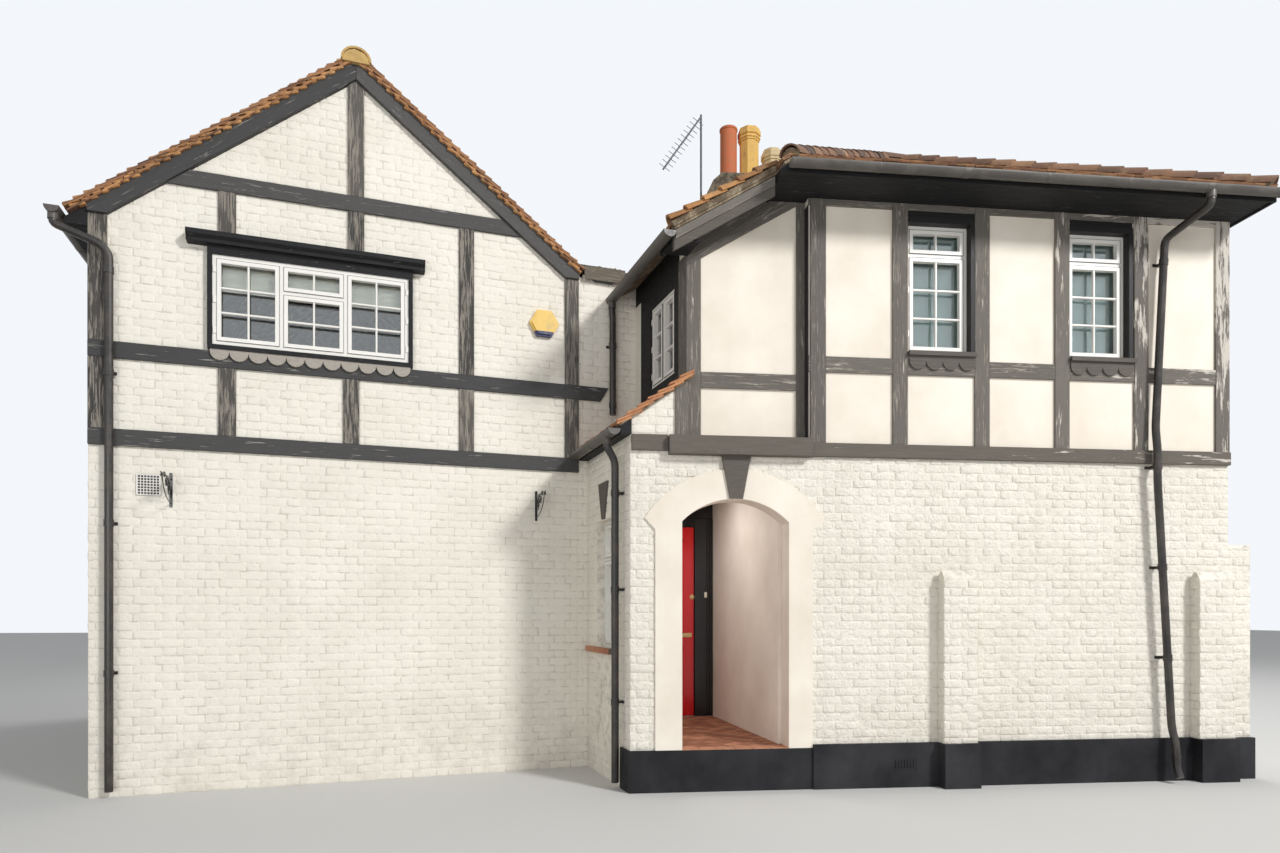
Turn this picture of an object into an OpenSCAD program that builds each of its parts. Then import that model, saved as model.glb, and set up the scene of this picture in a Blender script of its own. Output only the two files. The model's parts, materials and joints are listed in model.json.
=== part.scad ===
// Half timbered house: a gabled block with a lower hipped wing turned to the street

/* [Plan] */
// Turn of the gabled block against the wing front
bend = 13.2; // [8:0.2:18]
// Width of the gabled front
gable_w = 4300; // [3900:50:5000]
// Depth of the gabled block
gable_d = 7000; // [6000:100:9000]
// Brick nib between the gabled block and the wing side wall
nib = 105; // [80:5:150]
// Length of the ground floor side wall in the recess
side_len = 1340; // [1200:20:1600]
// Distance of the wing's left corner from the arch centre
wing_left = 940; // [900:10:1100]
// Distance of the wing's right corner from the arch centre
wing_right = 4780; // [4700:20:5400]
// Depth of the wing
wing_d = 4000; // [3800:50:5000]
// Thickness of the brick walls
wall_t = 225; // [200:5:260]
// Thickness of the timber framed walls
frame_t = 150; // [130:5:180]
// Clearance between pieces that seat on each other
fit = 0.3; // [0.2:0.1:0.5]

/* [Storeys] */
// Height of the ground floor above the lowest ground
ground_z = 370; // [320:10:450]
// Height of the first floor
first_z = 3100; // [3000:20:3300]
// Thickness of the floors
floor_t = 180; // [150:10:220]

/* [Gabled block] */
// Height of the walls at the eaves
gable_eaves = 5035; // [4850:10:5200]
// Pitch of the gabled roof
gable_pitch = 38; // [34:0.5:42]
// Thickness of the gabled roof along the vertical
gable_roof_t = 85; // [70:1:120]
// Tiles standing out past the gabled front
verge_out = 85; // [70:5:120]
// Eaves standing out to the left
gable_eaves_out = 170; // [120:10:220]
// Thickness of the planted timbers
timber_t = 30; // [20:2:40]
// Width of the rails and posts
timber_w = 142; // [120:2:170]
// Underside of the low rail
low_rail_z = 3010; // [2960:5:3060]
// Underside of the middle rail
mid_rail_z = 3757; // [3700:5:3800]
// Underside of the collar
collar_z = 5325; // [5250:5:5400]
// Depth of the bargeboards
barge_w = 134; // [110:2:180]
// Thickness of the bargeboards
barge_t = 55; // [40:5:70]

/* [Box window] */
// Left side of the window opening
win_a = 950; // [900:10:1050]
// Width of the window opening
win_w = 1670; // [1550:10:1750]
// Sill height of the window opening
win_z = 3950; // [3920:5:4000]
// Height of the window opening
win_h = 795; // [740:5:850]
// Reach of the hood in front of the wall
hood_out = 130; // [100:5:160]

/* [Wing upper floor] */
// Left end of the main framed front
main_left = 660; // [600:10:720]
// Set back of the left facet behind the main front
facet_back = 100; // [80:5:130]
// Jetty step of the upper side wall behind the lower one
side_step = 522; // [480:2:580]
// Height of the soffit
soffit_z = 5290; // [5200:10:5400]
// Width of the framed posts
post_w = 142; // [120:2:170]
// Underside of the framed middle rail
wing_rail_z = 3737; // [3700:5:3780]
// Underside of the facet's middle rail
facet_rail_z = 3590; // [3540:5:3640]
// Sill height of the wing windows
wing_win_z = 3950; // [3920:5:4000]
// Height of the wing windows
wing_win_h = 1230; // [1150:10:1290]

/* [Wing roof] */
// Pitch of the wing roof
wing_pitch = 30; // [26:0.5:35]
// Thickness of the wing roof along the vertical
wing_roof_t = 80; // [70:5:120]
// Height of the tiles at the front eaves
wing_tile_z = 5430; // [5380:5:5480]
// Pitch of the left slope
side_pitch = 31; // [27:0.5:35]
// Drop of the left slope's tiles below the front eaves' tiles
side_drop = 35; // [0:5:60]
// Front eaves standing out
wing_out = 450; // [380:10:520]
// Roof end standing out past the right wall
wing_end_out = 90; // [60:5:160]
// Left end of the front eaves from the arch centre
hip_left = 290; // [200:10:380]
// Verge standing out past the left facet
facet_verge = 370; // [300:10:420]
// Eaves standing out past the upper side wall
side_out = 265; // [220:5:300]

/* [Arch and porch] */
// Width of the arch
arch_w = 970; // [900:10:1050]
// Springing height of the arch
spring_z = 2385; // [2340:5:2430]
// Rise of the arch
arch_rise = 205; // [170:5:240]
// Width of the rendered surround
surround_w = 235; // [200:5:260]
// Depth of the porch
porch_d = 2300; // [2100:20:2500]
// Thickness of the porch walls
porch_t = 110; // [100:5:150]
// Width of the door leaf
door_w = 830; // [760:10:900]
// Height of the door leaf
door_h = 2200; // [2100:10:2260]
// Thickness of the door leaf
door_t = 45; // [40:1:54]

/* [Lean-to] */
// Pitch of the lean-to roof
lean_pitch = 35; // [30:0.5:40]
// Height of the lean-to roof's underside at the lower side wall
lean_z = 3275; // [3200:5:3320]
// Thickness of the lean-to roof along the vertical
lean_t = 60; // [50:5:90]

/* [Rainwater] */
// Diameter of the downpipes
pipe_d = 68; // [60:1:80]
// Width of the gutters
gutter_w = 112; // [100:2:130]
// Wall of the gutters
gutter_t = 6; // [4:1:8]

/* [Chimney] */
// Left side of the chimney stack
stack_x = 540; // [480:10:620]
// Width of the chimney stack
stack_w = 1240; // [1100:10:1300]
// Depth of the chimney stack
stack_d = 500; // [440:10:600]
// Top of the chimney stack
stack_z = 7670; // [7500:10:7900]

/* [Hidden] */
$fn = 32;
far = 20000;
sb = sin(bend);
cb = cos(bend);
corner_q = [-wing_left - side_len * sb, side_len * cb];
gable_at = [corner_q[0] - (gable_w + nib) * cb, corner_q[1] - (gable_w + nib) * sb];
side_a = gable_w + nib;
upper_a = side_a + side_step;
gable_tan = tan(gable_pitch);
gable_apex = gable_eaves + gable_w / 2 * gable_tan;
wing_tan = tan(wing_pitch);
side_tan = tan(side_pitch);
lean_tan = tan(lean_pitch);
ridge_y = wing_d / 2;

// Place of a point given in the gabled block's own plan
function in_plan(a, b) = [gable_at[0] + a * cb - b * sb, gable_at[1] + a * sb + b * cb];
// Distance along the gabled front of a point in the part's plan
function along(p) = (p[0] - gable_at[0]) * cb + (p[1] - gable_at[1]) * sb;
// Left edge in the part's plan of a plane square to the gabled front, at a given depth
function edge_x(a, y) = gable_at[0] + (a - (y - gable_at[1]) * sb) / cb;

hip_a = along([hip_left, -wing_out]);
// Height of the left slope's tiles at a distance along the gabled front
function side_slope(a) = wing_tile_z - side_drop + (a - hip_a) * side_tan;
// Height of the lean-to underside
function lean_slope(a) = lean_z + (a - side_a) * lean_tan;

module gabled() {
    translate([gable_at[0], gable_at[1], 0]) rotate([0, 0, bend]) children();
}

// Upright slab with an outline in x and z, its front face at y
module slab(points, y, t) {
    translate([0, y + t, 0]) rotate([90, 0, 0]) linear_extrude(t) polygon(points);
}

// Box between two corners
module block(p, q) {
    translate(p) cube(q - p);
}

// Space under the gabled roof's underside, its top lowered by some height
module under_gable(low) {
    drop = gable_w;
    foot = gable_eaves - drop * gable_tan - low;
    slab([[-drop, -100], [gable_w + drop, -100], [gable_w + drop, foot],
        [gable_w / 2, gable_apex - low], [-drop, foot]], -far / 2, far * 1.5);
}

// Space under the wing roof, its top lowered by some height
module under_wing(low) {
    z0 = wing_tile_z - low;
    run = wing_out + ridge_y;
    intersection() {
        translate([-far / 2, 0, 0]) rotate([90, 0, 90]) linear_extrude(far)
            polygon([[-wing_out - 500, -100], [wing_d + wing_out + 500, -100],
                [wing_d + wing_out + 500, z0 - 500 * wing_tan],
                [ridge_y, z0 + run * wing_tan], [-wing_out - 500, z0 - 500 * wing_tan]]);
        slab([[-far / 2, -100], [wing_right + wing_end_out + 500, -100],
            [wing_right + wing_end_out + 500, z0 - 500 * wing_tan],
            [wing_right + wing_end_out - 6000, z0 + 6000 * wing_tan], [-far / 2, z0 + 6000 * wing_tan]],
            -far / 2, far);
        gabled() slab([[hip_a - 3000, -100], [far, -100], [far, side_slope(hip_a + 6000) - low],
            [hip_a + 6000, side_slope(hip_a + 6000) - low], [hip_a - 3000, side_slope(hip_a - 3000) - low]],
            -far / 2, far);
    }
}

// Plan of the wing roof
module wing_roof_plan() {
    verge_y = facet_back - facet_verge;
    linear_extrude(far / 2) polygon([
        [hip_left, -wing_out], [wing_right + wing_end_out, -wing_out],
        [wing_right + wing_end_out, back_y], [edge_x(upper_a, back_y), back_y],
        in_plan(upper_a, 0), in_plan(upper_a - side_out, 0),
        [edge_x(upper_a - side_out, verge_y), verge_y], [hip_left, verge_y]]);
}

// Walls of the gabled block
module gable_outline(y) {
    slab([[0, 0], [gable_w, 0], [gable_w, gable_eaves - fit], [gable_w / 2, gable_apex - fit],
        [0, gable_eaves - fit]], y, wall_t);
}

module gable_front_wall() {
    color("ivory") gabled() difference() {
        gable_outline(0);
        block([win_a, -10, win_z], [win_a + win_w, wall_t + 10, win_z + win_h]);
    }
}

back_win_w = 1200;
back_win_h = 1050;
back_low_z = 1300;
module gable_back_wall() {
    a = (gable_w - back_win_w) / 2;
    color("ivory") gabled() difference() {
        gable_outline(gable_d - wall_t);
        for (z = [back_low_z, mid_rail_z])
            block([a, gable_d - wall_t - 10, z], [a + back_win_w, gable_d + 10, z + back_win_h]);
    }
}

module gable_side(a) {
    intersection() {
        block([a, wall_t, 0], [a + wall_t, gable_d - wall_t, far / 2]);
        under_gable(fit);
    }
}

module gable_left_wall() {
    color("ivory") gabled() gable_side(0);
}

module gable_right_wall() {
    color("ivory") gabled() gable_side(gable_w - wall_t);
}

module gable_floor(z) {
    gabled() block([wall_t, wall_t, z - floor_t], [gable_w - wall_t, gable_d - wall_t, z]);
}

module gable_ground_floor() {
    color("burlywood") gable_floor(ground_z);
}

module gable_first_floor() {
    color("burlywood") gable_floor(first_z);
}

// Timbers planted on the gabled front
barge_drop = barge_w / cos(gable_pitch);
stud_a = 994;
king_a = gable_w / 2 - timber_w / 2;
low_king_a = king_a - 42;
right_stud_a = gable_w - 1201;
barge_foot_z = gable_eaves + timber_w * gable_tan - barge_drop;
recess_rail_low = 230;
recess_rail_top = 320;
hood_z = win_z + win_h + 80;
hood_h = 120;
module rail(z, a0, a1) {
    block([a0, -timber_t, z], [a1, 0, z + timber_w]);
}

module stud(a, z0, z1) {
    block([a, -timber_t, z0], [a + timber_w, 0, z1]);
}

module gable_timbers() {
    mid_top = mid_rail_z + timber_w;
    low_top = low_rail_z + timber_w;
    color("dimgray") gabled() difference() {
        intersection() {
            union() {
                rail(low_rail_z, 0, gable_w);
                rail(mid_rail_z, 0, gable_w);
                rail(collar_z, 0, gable_w);
                stud(0, low_rail_z, gable_eaves + 500);
                stud(gable_w - timber_w, low_rail_z, gable_eaves + 500);
                stud(king_a, hood_z + hood_h, gable_apex);
                stud(low_king_a, low_top, mid_rail_z);
                stud(stud_a, hood_z + hood_h, collar_z);
                stud(stud_a, low_top, mid_rail_z);
                stud(right_stud_a, low_top, collar_z);
            }
            union() {
                under_gable(barge_drop + fit);
                block([0, -far, 0], [gable_w, far, barge_foot_z - fit]);
            }
        }
        block([win_a - hood_side, -far, min(mid_top, win_z - hood_side)],
            [win_a + win_w + hood_side, far, hood_z]);
    }
    color("dimgray") gabled() slab([[gable_w, mid_rail_z], [gable_w + recess_rail_low, mid_rail_z],
        [gable_w + recess_rail_top, mid_top], [gable_w, mid_top]], -timber_t, timber_t);
}

// Bargeboards with their feet cut level on the corner posts
module bargeboards() {
    color("dimgray") gabled() for (y = [-barge_t, gable_d])
        slab([[0, barge_foot_z], [timber_w, barge_foot_z], [gable_w / 2, gable_apex - barge_drop],
            [gable_w - timber_w, barge_foot_z], [gable_w, barge_foot_z], [gable_w, gable_eaves - fit],
            [gable_w / 2, gable_apex - fit], [0, gable_eaves - fit]], y, barge_t);
}

// Boxed eaves on the left: fascia, soffit and a board across each end
board = 22;
soffit_t = 18;
eaves_box_h = 180;
eaves_box_z = gable_eaves - eaves_box_h;
module eaves_box() {
    color("dimgray") gabled() intersection() {
        union() {
            block([-gable_eaves_out, 0, eaves_box_z], [board - gable_eaves_out, gable_d, far / 2]);
            block([-gable_eaves_out, 0, eaves_box_z], [-fit, gable_d, eaves_box_z + soffit_t]);
            for (y = [-timber_t, gable_d])
                block([-gable_eaves_out, y, eaves_box_z], [-fit, y + timber_t, far / 2]);
        }
        under_gable(fit);
    }
}

gable_right_out = 50;
// The gabled roof, grown all round where something is cut to clear it
module gable_roof_solid(grow) {
    left = -gable_eaves_out - grow;
    right = gable_w + gable_right_out + grow;
    left_z = gable_eaves - gable_eaves_out * gable_tan;
    right_z = gable_eaves - gable_right_out * gable_tan;
    top = gable_roof_t + grow;
    slab([[left, left_z - grow], [gable_w / 2, gable_apex - grow], [right, right_z - grow],
        [right, right_z + top], [gable_w / 2, gable_apex + top], [left, left_z + top]],
        -verge_out - grow, gable_d + 2 * (verge_out + grow));
}

module gable_roof() {
    color("sienna") gabled() gable_roof_solid(0);
}

ridge_r = 95;
module gable_ridge_tiles() {
    top = gable_apex + gable_roof_t;
    color("peru") gabled() difference() {
        translate([gable_w / 2, -verge_out - 20, top - 62]) rotate([-90, 0, 0])
            cylinder(r = ridge_r, h = gable_d + 2 * verge_out + 40);
        under_gable(-gable_roof_t - fit);
    }
}

// Casement window: an outer frame with mullions, a sash in each light and a transom where its height
// isn't 0
frame_bar = 34;
sash_bar = 36;
sash_out = 8;
frame_depth = 70;
module sash(x0, x1, z0, z1) {
    difference() {
        block([x0, -sash_out, z0], [x1, frame_depth - 30, z1]);
        block([x0 + sash_bar, -far, z0 + sash_bar], [x1 - sash_bar, far, z1 - sash_bar]);
    }
}

module casement(w, h, transoms) {
    pitch = (w - frame_bar) / len(transoms);
    difference() {
        block([0, 0, 0], [w, frame_depth, h]);
        for (i = [0:len(transoms) - 1])
            block([frame_bar + i * pitch, -10, frame_bar],
                [(i + 1) * pitch, frame_depth + 10, h - frame_bar]);
    }
    for (i = [0:len(transoms) - 1]) {
        x0 = frame_bar + i * pitch;
        x1 = (i + 1) * pitch;
        split = transoms[i];
        if (split > 0) {
            block([x0, 0, split - frame_bar / 2], [x1, frame_depth, split + frame_bar / 2]);
            sash(x0, x1, frame_bar, split - frame_bar / 2);
            sash(x0, x1, split + frame_bar / 2, h - frame_bar);
        } else {
            sash(x0, x1, frame_bar, h - frame_bar);
        }
    }
}

box_frame_y = -45;
box_transom = 0.66;
module box_window_frame() {
    color("white") gabled() translate([win_a, box_frame_y, win_z])
        casement(win_w, win_h, [0, win_h * box_transom, 0]);
}

hood_side = 40;
module box_window_hood() {
    color("dimgray") gabled() {
        difference() {
            block([win_a - hood_side, box_frame_y - 15, win_z - hood_side],
                [win_a + win_w + hood_side, 0, hood_z]);
            block([win_a, -far, win_z], [win_a + win_w, 1, win_z + win_h]);
        }
        translate([win_a - 200, 0, hood_z]) rotate([90, 0, 90]) linear_extrude(win_w + 350)
            polygon([[0, 0], [0, hood_h], [-hood_out + 20, hood_h - 25], [-hood_out, hood_h - 25],
                [-hood_out, 55], [-hood_out + 30, 30], [-hood_out + 30, 0]]);
    }
}

// Scalloped board hung on a sill
module scallops(w, count, drop, t) {
    r = w / count / 2;
    arcs = [for (i = [0:count - 1]) for (k = [(i == 0 ? 0 : 1):8])
        [r + 2 * r * i - r * cos(k * 22.5), -drop + r - r * sin(k * 22.5)]];
    slab(concat(arcs, [[w, 0], [0, 0]]), 0, t);
}

apron_side = 20;
apron_h = 95;
apron_t = 20;
apron_count = 11;
module box_window_apron() {
    color("ivory") gabled() translate([win_a - apron_side, -timber_t - apron_t, win_z - hood_side])
        scallops(win_w + 2 * apron_side, apron_count, apron_h, apron_t);
}

// Walls of the recess and the wing
module recess_wall() {
    color("ivory") gabled() difference() {
        union() {
            block([gable_w, 0, 0], [side_a + wall_t, wall_t, first_z]);
            block([gable_w, 0, first_z], [upper_a, wall_t, link_z]);
        }
        gable_roof_solid(fit);
    }
}

side_win_b = -817;
side_win_w = 492;
side_win_z = 1240;
side_win_h = 1230;
side_key_z = side_win_z + side_win_h + 10;
side_key_t = 18;
module side_wall() {
    color("ivory") difference() {
        gabled() difference() {
            slab([[side_a, 0], [side_a + wall_t, 0], [side_a + wall_t, lean_slope(side_a + wall_t) - fit],
                [side_a, lean_z - fit]], -side_len - 300, side_len + 300);
            block([side_a - 10, side_win_b, side_win_z],
                [side_a + wall_t + 10, side_win_b + side_win_w, side_win_z + side_win_h]);
        }
        block([-far, -far, -10], [far, wall_t, far]);
    }
}

arch_half = arch_w / 2;
arch_r = (arch_half * arch_half + arch_rise * arch_rise) / (2 * arch_rise);
// Opening of the arch above its springing
module arch_hole(y0, y1) {
    intersection() {
        translate([0, y1, spring_z + arch_rise - arch_r]) rotate([90, 0, 0])
            cylinder(r = arch_r, h = y1 - y0, $fn = 96);
        block([-far, y0, spring_z - 1], [far, y1, far]);
    }
}

// Plan of the brick cheek that closes the end of the lean-to roof
module cheek_plan() {
    difference() {
        block([-far, 0, first_z], [edge_x(upper_a, facet_back), wall_t, far / 2]);
        intersection() {
            block([-far, facet_back, 0], [far, far, far]);
            gabled() block([upper_a, -far, 0], [far, far, far]);
        }
    }
}

module front_left_pier() {
    color("ivory") difference() {
        union() {
            block([edge_x(side_a, wall_t) - 200, 0, ground_z], [-arch_half - fit, wall_t, first_z]);
            intersection() {
                cheek_plan();
                under_lean_to();
            }
        }
        gabled() block([-far, -far, -10], [side_a, far, far]);
    }
}

// Space under the lean-to roof and its line drawn on upwards
module under_lean_to() {
    rise = upper_a + 100;
    gabled() slab([[side_a, 0], [rise, 0], [rise, lean_slope(rise) - fit], [side_a, lean_z - fit]],
        -far / 2, far);
}

module front_right_wall() {
    color("ivory") slab([[arch_half, ground_z], [step_x, ground_z], [step_x, ground_z + 30],
        [wing_right, ground_z + 30], [wing_right, first_z], [arch_half, first_z]], 0, wall_t);
}

module arch_head() {
    color("ivory") difference() {
        block([-arch_half, 0, spring_z], [arch_half, wall_t, first_z]);
        arch_hole(-10, wall_t + 10);
    }
}

// Rendered surround with a shoulder on each side of the arch
surround_t = 20;
ear_z = spring_z + 25;
surround_r = 975;
surround_top = 2850;
ear_x = arch_half + surround_w + 95;
module arch_surround() {
    color("floralwhite") difference() {
        union() {
            intersection() {
                block([-ear_x, -surround_t, ear_z], [ear_x, 0, surround_top + 10]);
                translate([0, 0, surround_top - surround_r]) rotate([90, 0, 0])
                    cylinder(r = surround_r, h = surround_t, $fn = 96);
            }
            slab([[-ear_x, ear_z], [-arch_half - surround_w, ear_z - 100],
                [-arch_half - surround_w, ground_z], [arch_half + surround_w - 20, ground_z],
                [arch_half + surround_w - 20, ear_z - 100], [ear_x, ear_z]], -surround_t, surround_t);
        }
        arch_hole(-surround_t - 10, 10);
        block([-arch_half, -surround_t - 10, 0], [arch_half, 10, spring_z]);
        keystone_shape();
    }
}

key_z = spring_z + arch_rise - 10;
key_low = 116;
key_top = 260;
key_t = 40;
module keystone_shape() {
    slab([[-key_low / 2, key_z], [key_low / 2, key_z], [key_top / 2, wing_beam_z],
        [-key_top / 2, wing_beam_z]], -key_t, key_t);
}

module keystones() {
    color("dimgray") {
        difference() {
            keystone_shape();
            arch_hole(-key_t - 10, 10);
        }
        gabled() translate([side_a, side_win_b + side_win_w / 2, 0]) rotate([0, 0, -90])
            slab([[-45, side_key_z], [45, side_key_z], [150, side_key_z + 350], [-150, side_key_z + 350]],
                -side_key_t, side_key_t);
    }
}

// Plinths under the wing front
module plinth_left() {
    color("black") difference() {
        block([-far, -25, 0], [step_x, wall_t, ground_z]);
        gabled() block([-far, -far, -10], [side_a - 20, far, far]);
    }
}

step_x = 700;
pilaster_x = [1883, wing_right - 394];
pilaster_w = [320, 362];
pilaster_t = 120;
pilaster_top = 1890;
coping_rise = 75;
plinth_out = 45;
plinth_top = ground_z + 30;
pier_w = 240;
pier_back = 10;
pier_top = 2225;
air_brick = [1438, 156, 218, 105];
module plinth_right() {
    front = -plinth_out - pilaster_t;
    color("black") difference() {
        union() {
            block([step_x, -plinth_out, 0], [wing_right, wall_t, plinth_top]);
            for (i = [0, 1])
                block([pilaster_x[i] - 10, front, 0],
                    [pilaster_x[i] + pilaster_w[i] + 10, -plinth_out, plinth_top]);
            block([wing_right, -plinth_out + pier_back, 0],
                [wing_right + pier_w + 15, pier_back - fit, plinth_top - 10]);
        }
        translate([air_brick[0], -plinth_out - 1, air_brick[1]]) cube([air_brick[2], 16, air_brick[3]]);
    }
    color("black") translate([air_brick[0], -plinth_out + 5, air_brick[1]]) difference() {
        cube([air_brick[2], 10, air_brick[3]]);
        for (i = [0:6])
            translate([14 + i * 28, -1, 18]) cube([16, 8, air_brick[3] - 36]);
    }
}

// Brick pilaster with a pointed coping
module pilaster(x, w) {
    steps = 5;
    half = pilaster_t / 2;
    turn = 70 / steps;
    rise = [for (k = [1:steps]) pilaster_top + coping_rise * sin(k * turn) / sin(steps * turn)];
    front = [for (k = [1:steps]) [-pilaster_t + half * k / steps, rise[k - 1]]];
    back = [for (k = [steps - 1:-1:1]) [-half * k / steps, rise[k - 1]]];
    translate([x, 0, 0]) rotate([90, 0, 90]) linear_extrude(w)
        polygon(concat([[0, plinth_top], [-pilaster_t, plinth_top], [-pilaster_t, pilaster_top]], front, back,
            [[0, pilaster_top]]));
}

module pilasters() {
    color("ivory") for (i = [0, 1]) pilaster(pilaster_x[i], pilaster_w[i]);
}

module end_pier() {
    color("ivory") block([wing_right, pier_back, 0], [wing_right + pier_w, wall_t, pier_top]);
}

module wing_right_wall() {
    color("ivory") intersection() {
        union() {
            block([wing_right - wall_t, wall_t, 0], [wing_right, wing_d - wall_t, far / 2]);
            block([wing_right - wall_t, frame_t, first_z], [wing_right, wall_t, far / 2]);
        }
        under_wing(wing_roof_t + fit);
    }
}

wing_back_x = 2900;
module wing_back_wall() {
    color("ivory") difference() {
        intersection() {
            block([-far, wing_d - wall_t, 0], [wing_right, wing_d, far / 2]);
            union() {
                under_wing(wing_roof_t + fit);
                gabled() block([gable_w, 0, 0], [upper_a, far, link_z]);
            }
        }
        gabled() block([-far, -far, -10], [gable_w + fit, far, far]);
        gabled() gable_roof_solid(fit);
        for (z = [back_low_z, mid_rail_z])
            block([wing_back_x, wing_d - wall_t - 10, z],
                [wing_back_x + back_win_w, wing_d + 10, z + back_win_h]);
    }
}

// Inside of the wing in plan, at the ground floor
module wing_inside(z0, z1) {
    left = side_a + wall_t;
    difference() {
        block([-far / 2, wall_t, z0], [wing_right - wall_t, wing_d - wall_t, z1]);
        gabled() block([-far, -far, z0 - 10], [gable_w, far, z1 + 10]);
        gabled() block([-far, -far, z0 - 10], [left, wall_t, z1 + 10]);
    }
}

porch_right_x = 469;
porch_skew = 93;
module porch_zone(grow, z0, z1) {
    back = porch_d + grow;
    translate([0, 0, z0]) linear_extrude(z1 - z0) polygon([[-far / 2, 0],
        [porch_right_x + grow, 0], [porch_right_x + grow - porch_skew / 1000 * back, back],
        [-far / 2, back]]);
}

module wing_ground_floor() {
    color("burlywood") difference() {
        wing_inside(ground_z - floor_t, ground_z);
        porch_zone(porch_t, -10, far / 2);
    }
}

module wing_first_floor() {
    color("burlywood") wing_inside(first_z - floor_t, first_z);
}

module porch_floor() {
    color("indianred") intersection() {
        wing_inside(0, ground_z);
        porch_zone(0, 0, ground_z);
    }
}

module porch_right_wall() {
    color("antiquewhite") intersection() {
        wing_inside(0, first_z - floor_t);
        difference() {
            porch_zone(porch_t, 0, first_z - floor_t);
            porch_zone(0, -10, far / 2);
            block([-far, porch_d, -10], [far, far, far]);
        }
    }
}

door_right = 40;
jamb = 70;
side_board = 140;
head = 90;
frame_out_l = door_right - door_w - jamb - 4;
frame_out_r = door_right + side_board + 4;
module porch_back_wall() {
    color("antiquewhite") difference() {
        intersection() {
            wing_inside(0, first_z - floor_t);
            porch_zone(porch_t, 0, far / 2);
            block([-far, porch_d, 0], [far, porch_d + porch_t, far]);
        }
        block([frame_out_l, 0, ground_z], [frame_out_r, far, ground_z + door_h + head + 10]);
    }
}

module door_frame() {
    top = ground_z + door_h + 10;
    color("black") difference() {
        block([frame_out_l, porch_d - 20, ground_z], [frame_out_r, porch_d + porch_t, top + head]);
        block([frame_out_l + jamb, 0, ground_z - 10], [frame_out_r - side_board, far, top]);
    }
    color("dimgray") for (z = hinge_z) translate([hinge_x, hinge_y, z]) {
        cylinder(r = hinge_r, h = hinge_h / 2 - 1);
        cylinder(r = pin_r, h = hinge_h);
        block([-hinge_r - 3, -hinge_r, 0], [0, hinge_r, hinge_h / 2 - 1]);
    }
}

door_gap = 7;
hinge_r = 6;
hinge_h = 100;
pin_r = 3;
hinge_x = frame_out_l + jamb + hinge_r + 0.3;
hinge_y = porch_d + 20 + door_t + hinge_r;
hinge_z = [ground_z + 200, ground_z + door_h / 2, ground_z + door_h - 250];
module front_door() {
    left = frame_out_l + jamb + door_gap;
    right = frame_out_r - side_board - door_gap;
    bottom = ground_z + 8;
    color("crimson") {
        translate([left, porch_d + 20, bottom]) difference() {
            block([0, 0, 0], [right - left, door_t, door_h - 4]);
            block([120, -10, 950], [right - left - 120, 12, door_h - 150]);
            block([120, -10, 250], [right - left - 120, 8, 800]);
        }
        for (z = hinge_z) translate([hinge_x, hinge_y, z + hinge_h / 2]) difference() {
            union() {
                cylinder(r = hinge_r, h = hinge_h / 2);
                block([0, -hinge_r, 0], [40, -hinge_r + 3, hinge_h / 2]);
            }
            translate([0, 0, -1]) cylinder(r = pin_r + 0.2, h = hinge_h);
        }
    }
}

// Beams between the floors of the wing
wing_beam_z = first_z - 135;
wing_beam_top = first_z + 30;
beam_in = 335;
beam_left = beam_in - wing_left;
beam_out = 95;
band_out = 40;
module wing_beams() {
    color("dimgray") {
        block([beam_left, -beam_out, wing_beam_z], [post_x[0] - fit, 0, wing_beam_top]);
        difference() {
            block([-wing_left - 10, -35, first_z - 100], [beam_left, 0, first_z + 40]);
            gabled() block([-far, -far, 0], [side_a, far, far]);
        }
        block([post_x[0] - fit, -band_out, first_z - 125], [wing_right, 0, first_z]);
    }
}

wing_win_x = [1600, 3160];
wing_win_w = 630;
// Gap between each window opening and the post on its left and on its right
win_gap_left = [11, 4];
win_gap_right = [1, 15];
module main_front() {
    color("floralwhite") difference() {
        intersection() {
            block([main_left, 0, first_z], [wing_right, frame_t, far / 2]);
            under_wing(wing_roof_t + fit);
        }
        for (x = wing_win_x)
            block([x, -10, wing_win_z], [x + wing_win_w, frame_t + 10, wing_win_z + wing_win_h]);
    }
}

module left_facet() {
    color("floralwhite") difference() {
        intersection() {
            block([-far, facet_back, first_z], [main_left - fit, facet_back + frame_t, far / 2]);
            under_wing(wing_roof_t + fit);
        }
        gabled() block([-far, -far, 0], [upper_a, far, far]);
    }
}

up_win_b = -1078;
up_win_w = 640;
up_win_z = 3800;
up_win_h = 800;
module upper_side_wall() {
    color("dimgray") intersection() {
        difference() {
            gabled() difference() {
                block([upper_a, -side_len - 500, first_z], [upper_a + frame_t, wall_t, far / 2]);
                block([upper_a - 10, up_win_b, up_win_z],
                    [upper_a + frame_t + 10, up_win_b + up_win_w, up_win_z + up_win_h]);
            }
            block([-far, -far, 0], [far, facet_back + frame_t + fit, far]);
        }
        under_wing(wing_roof_t + fit);
    }
}

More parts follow.
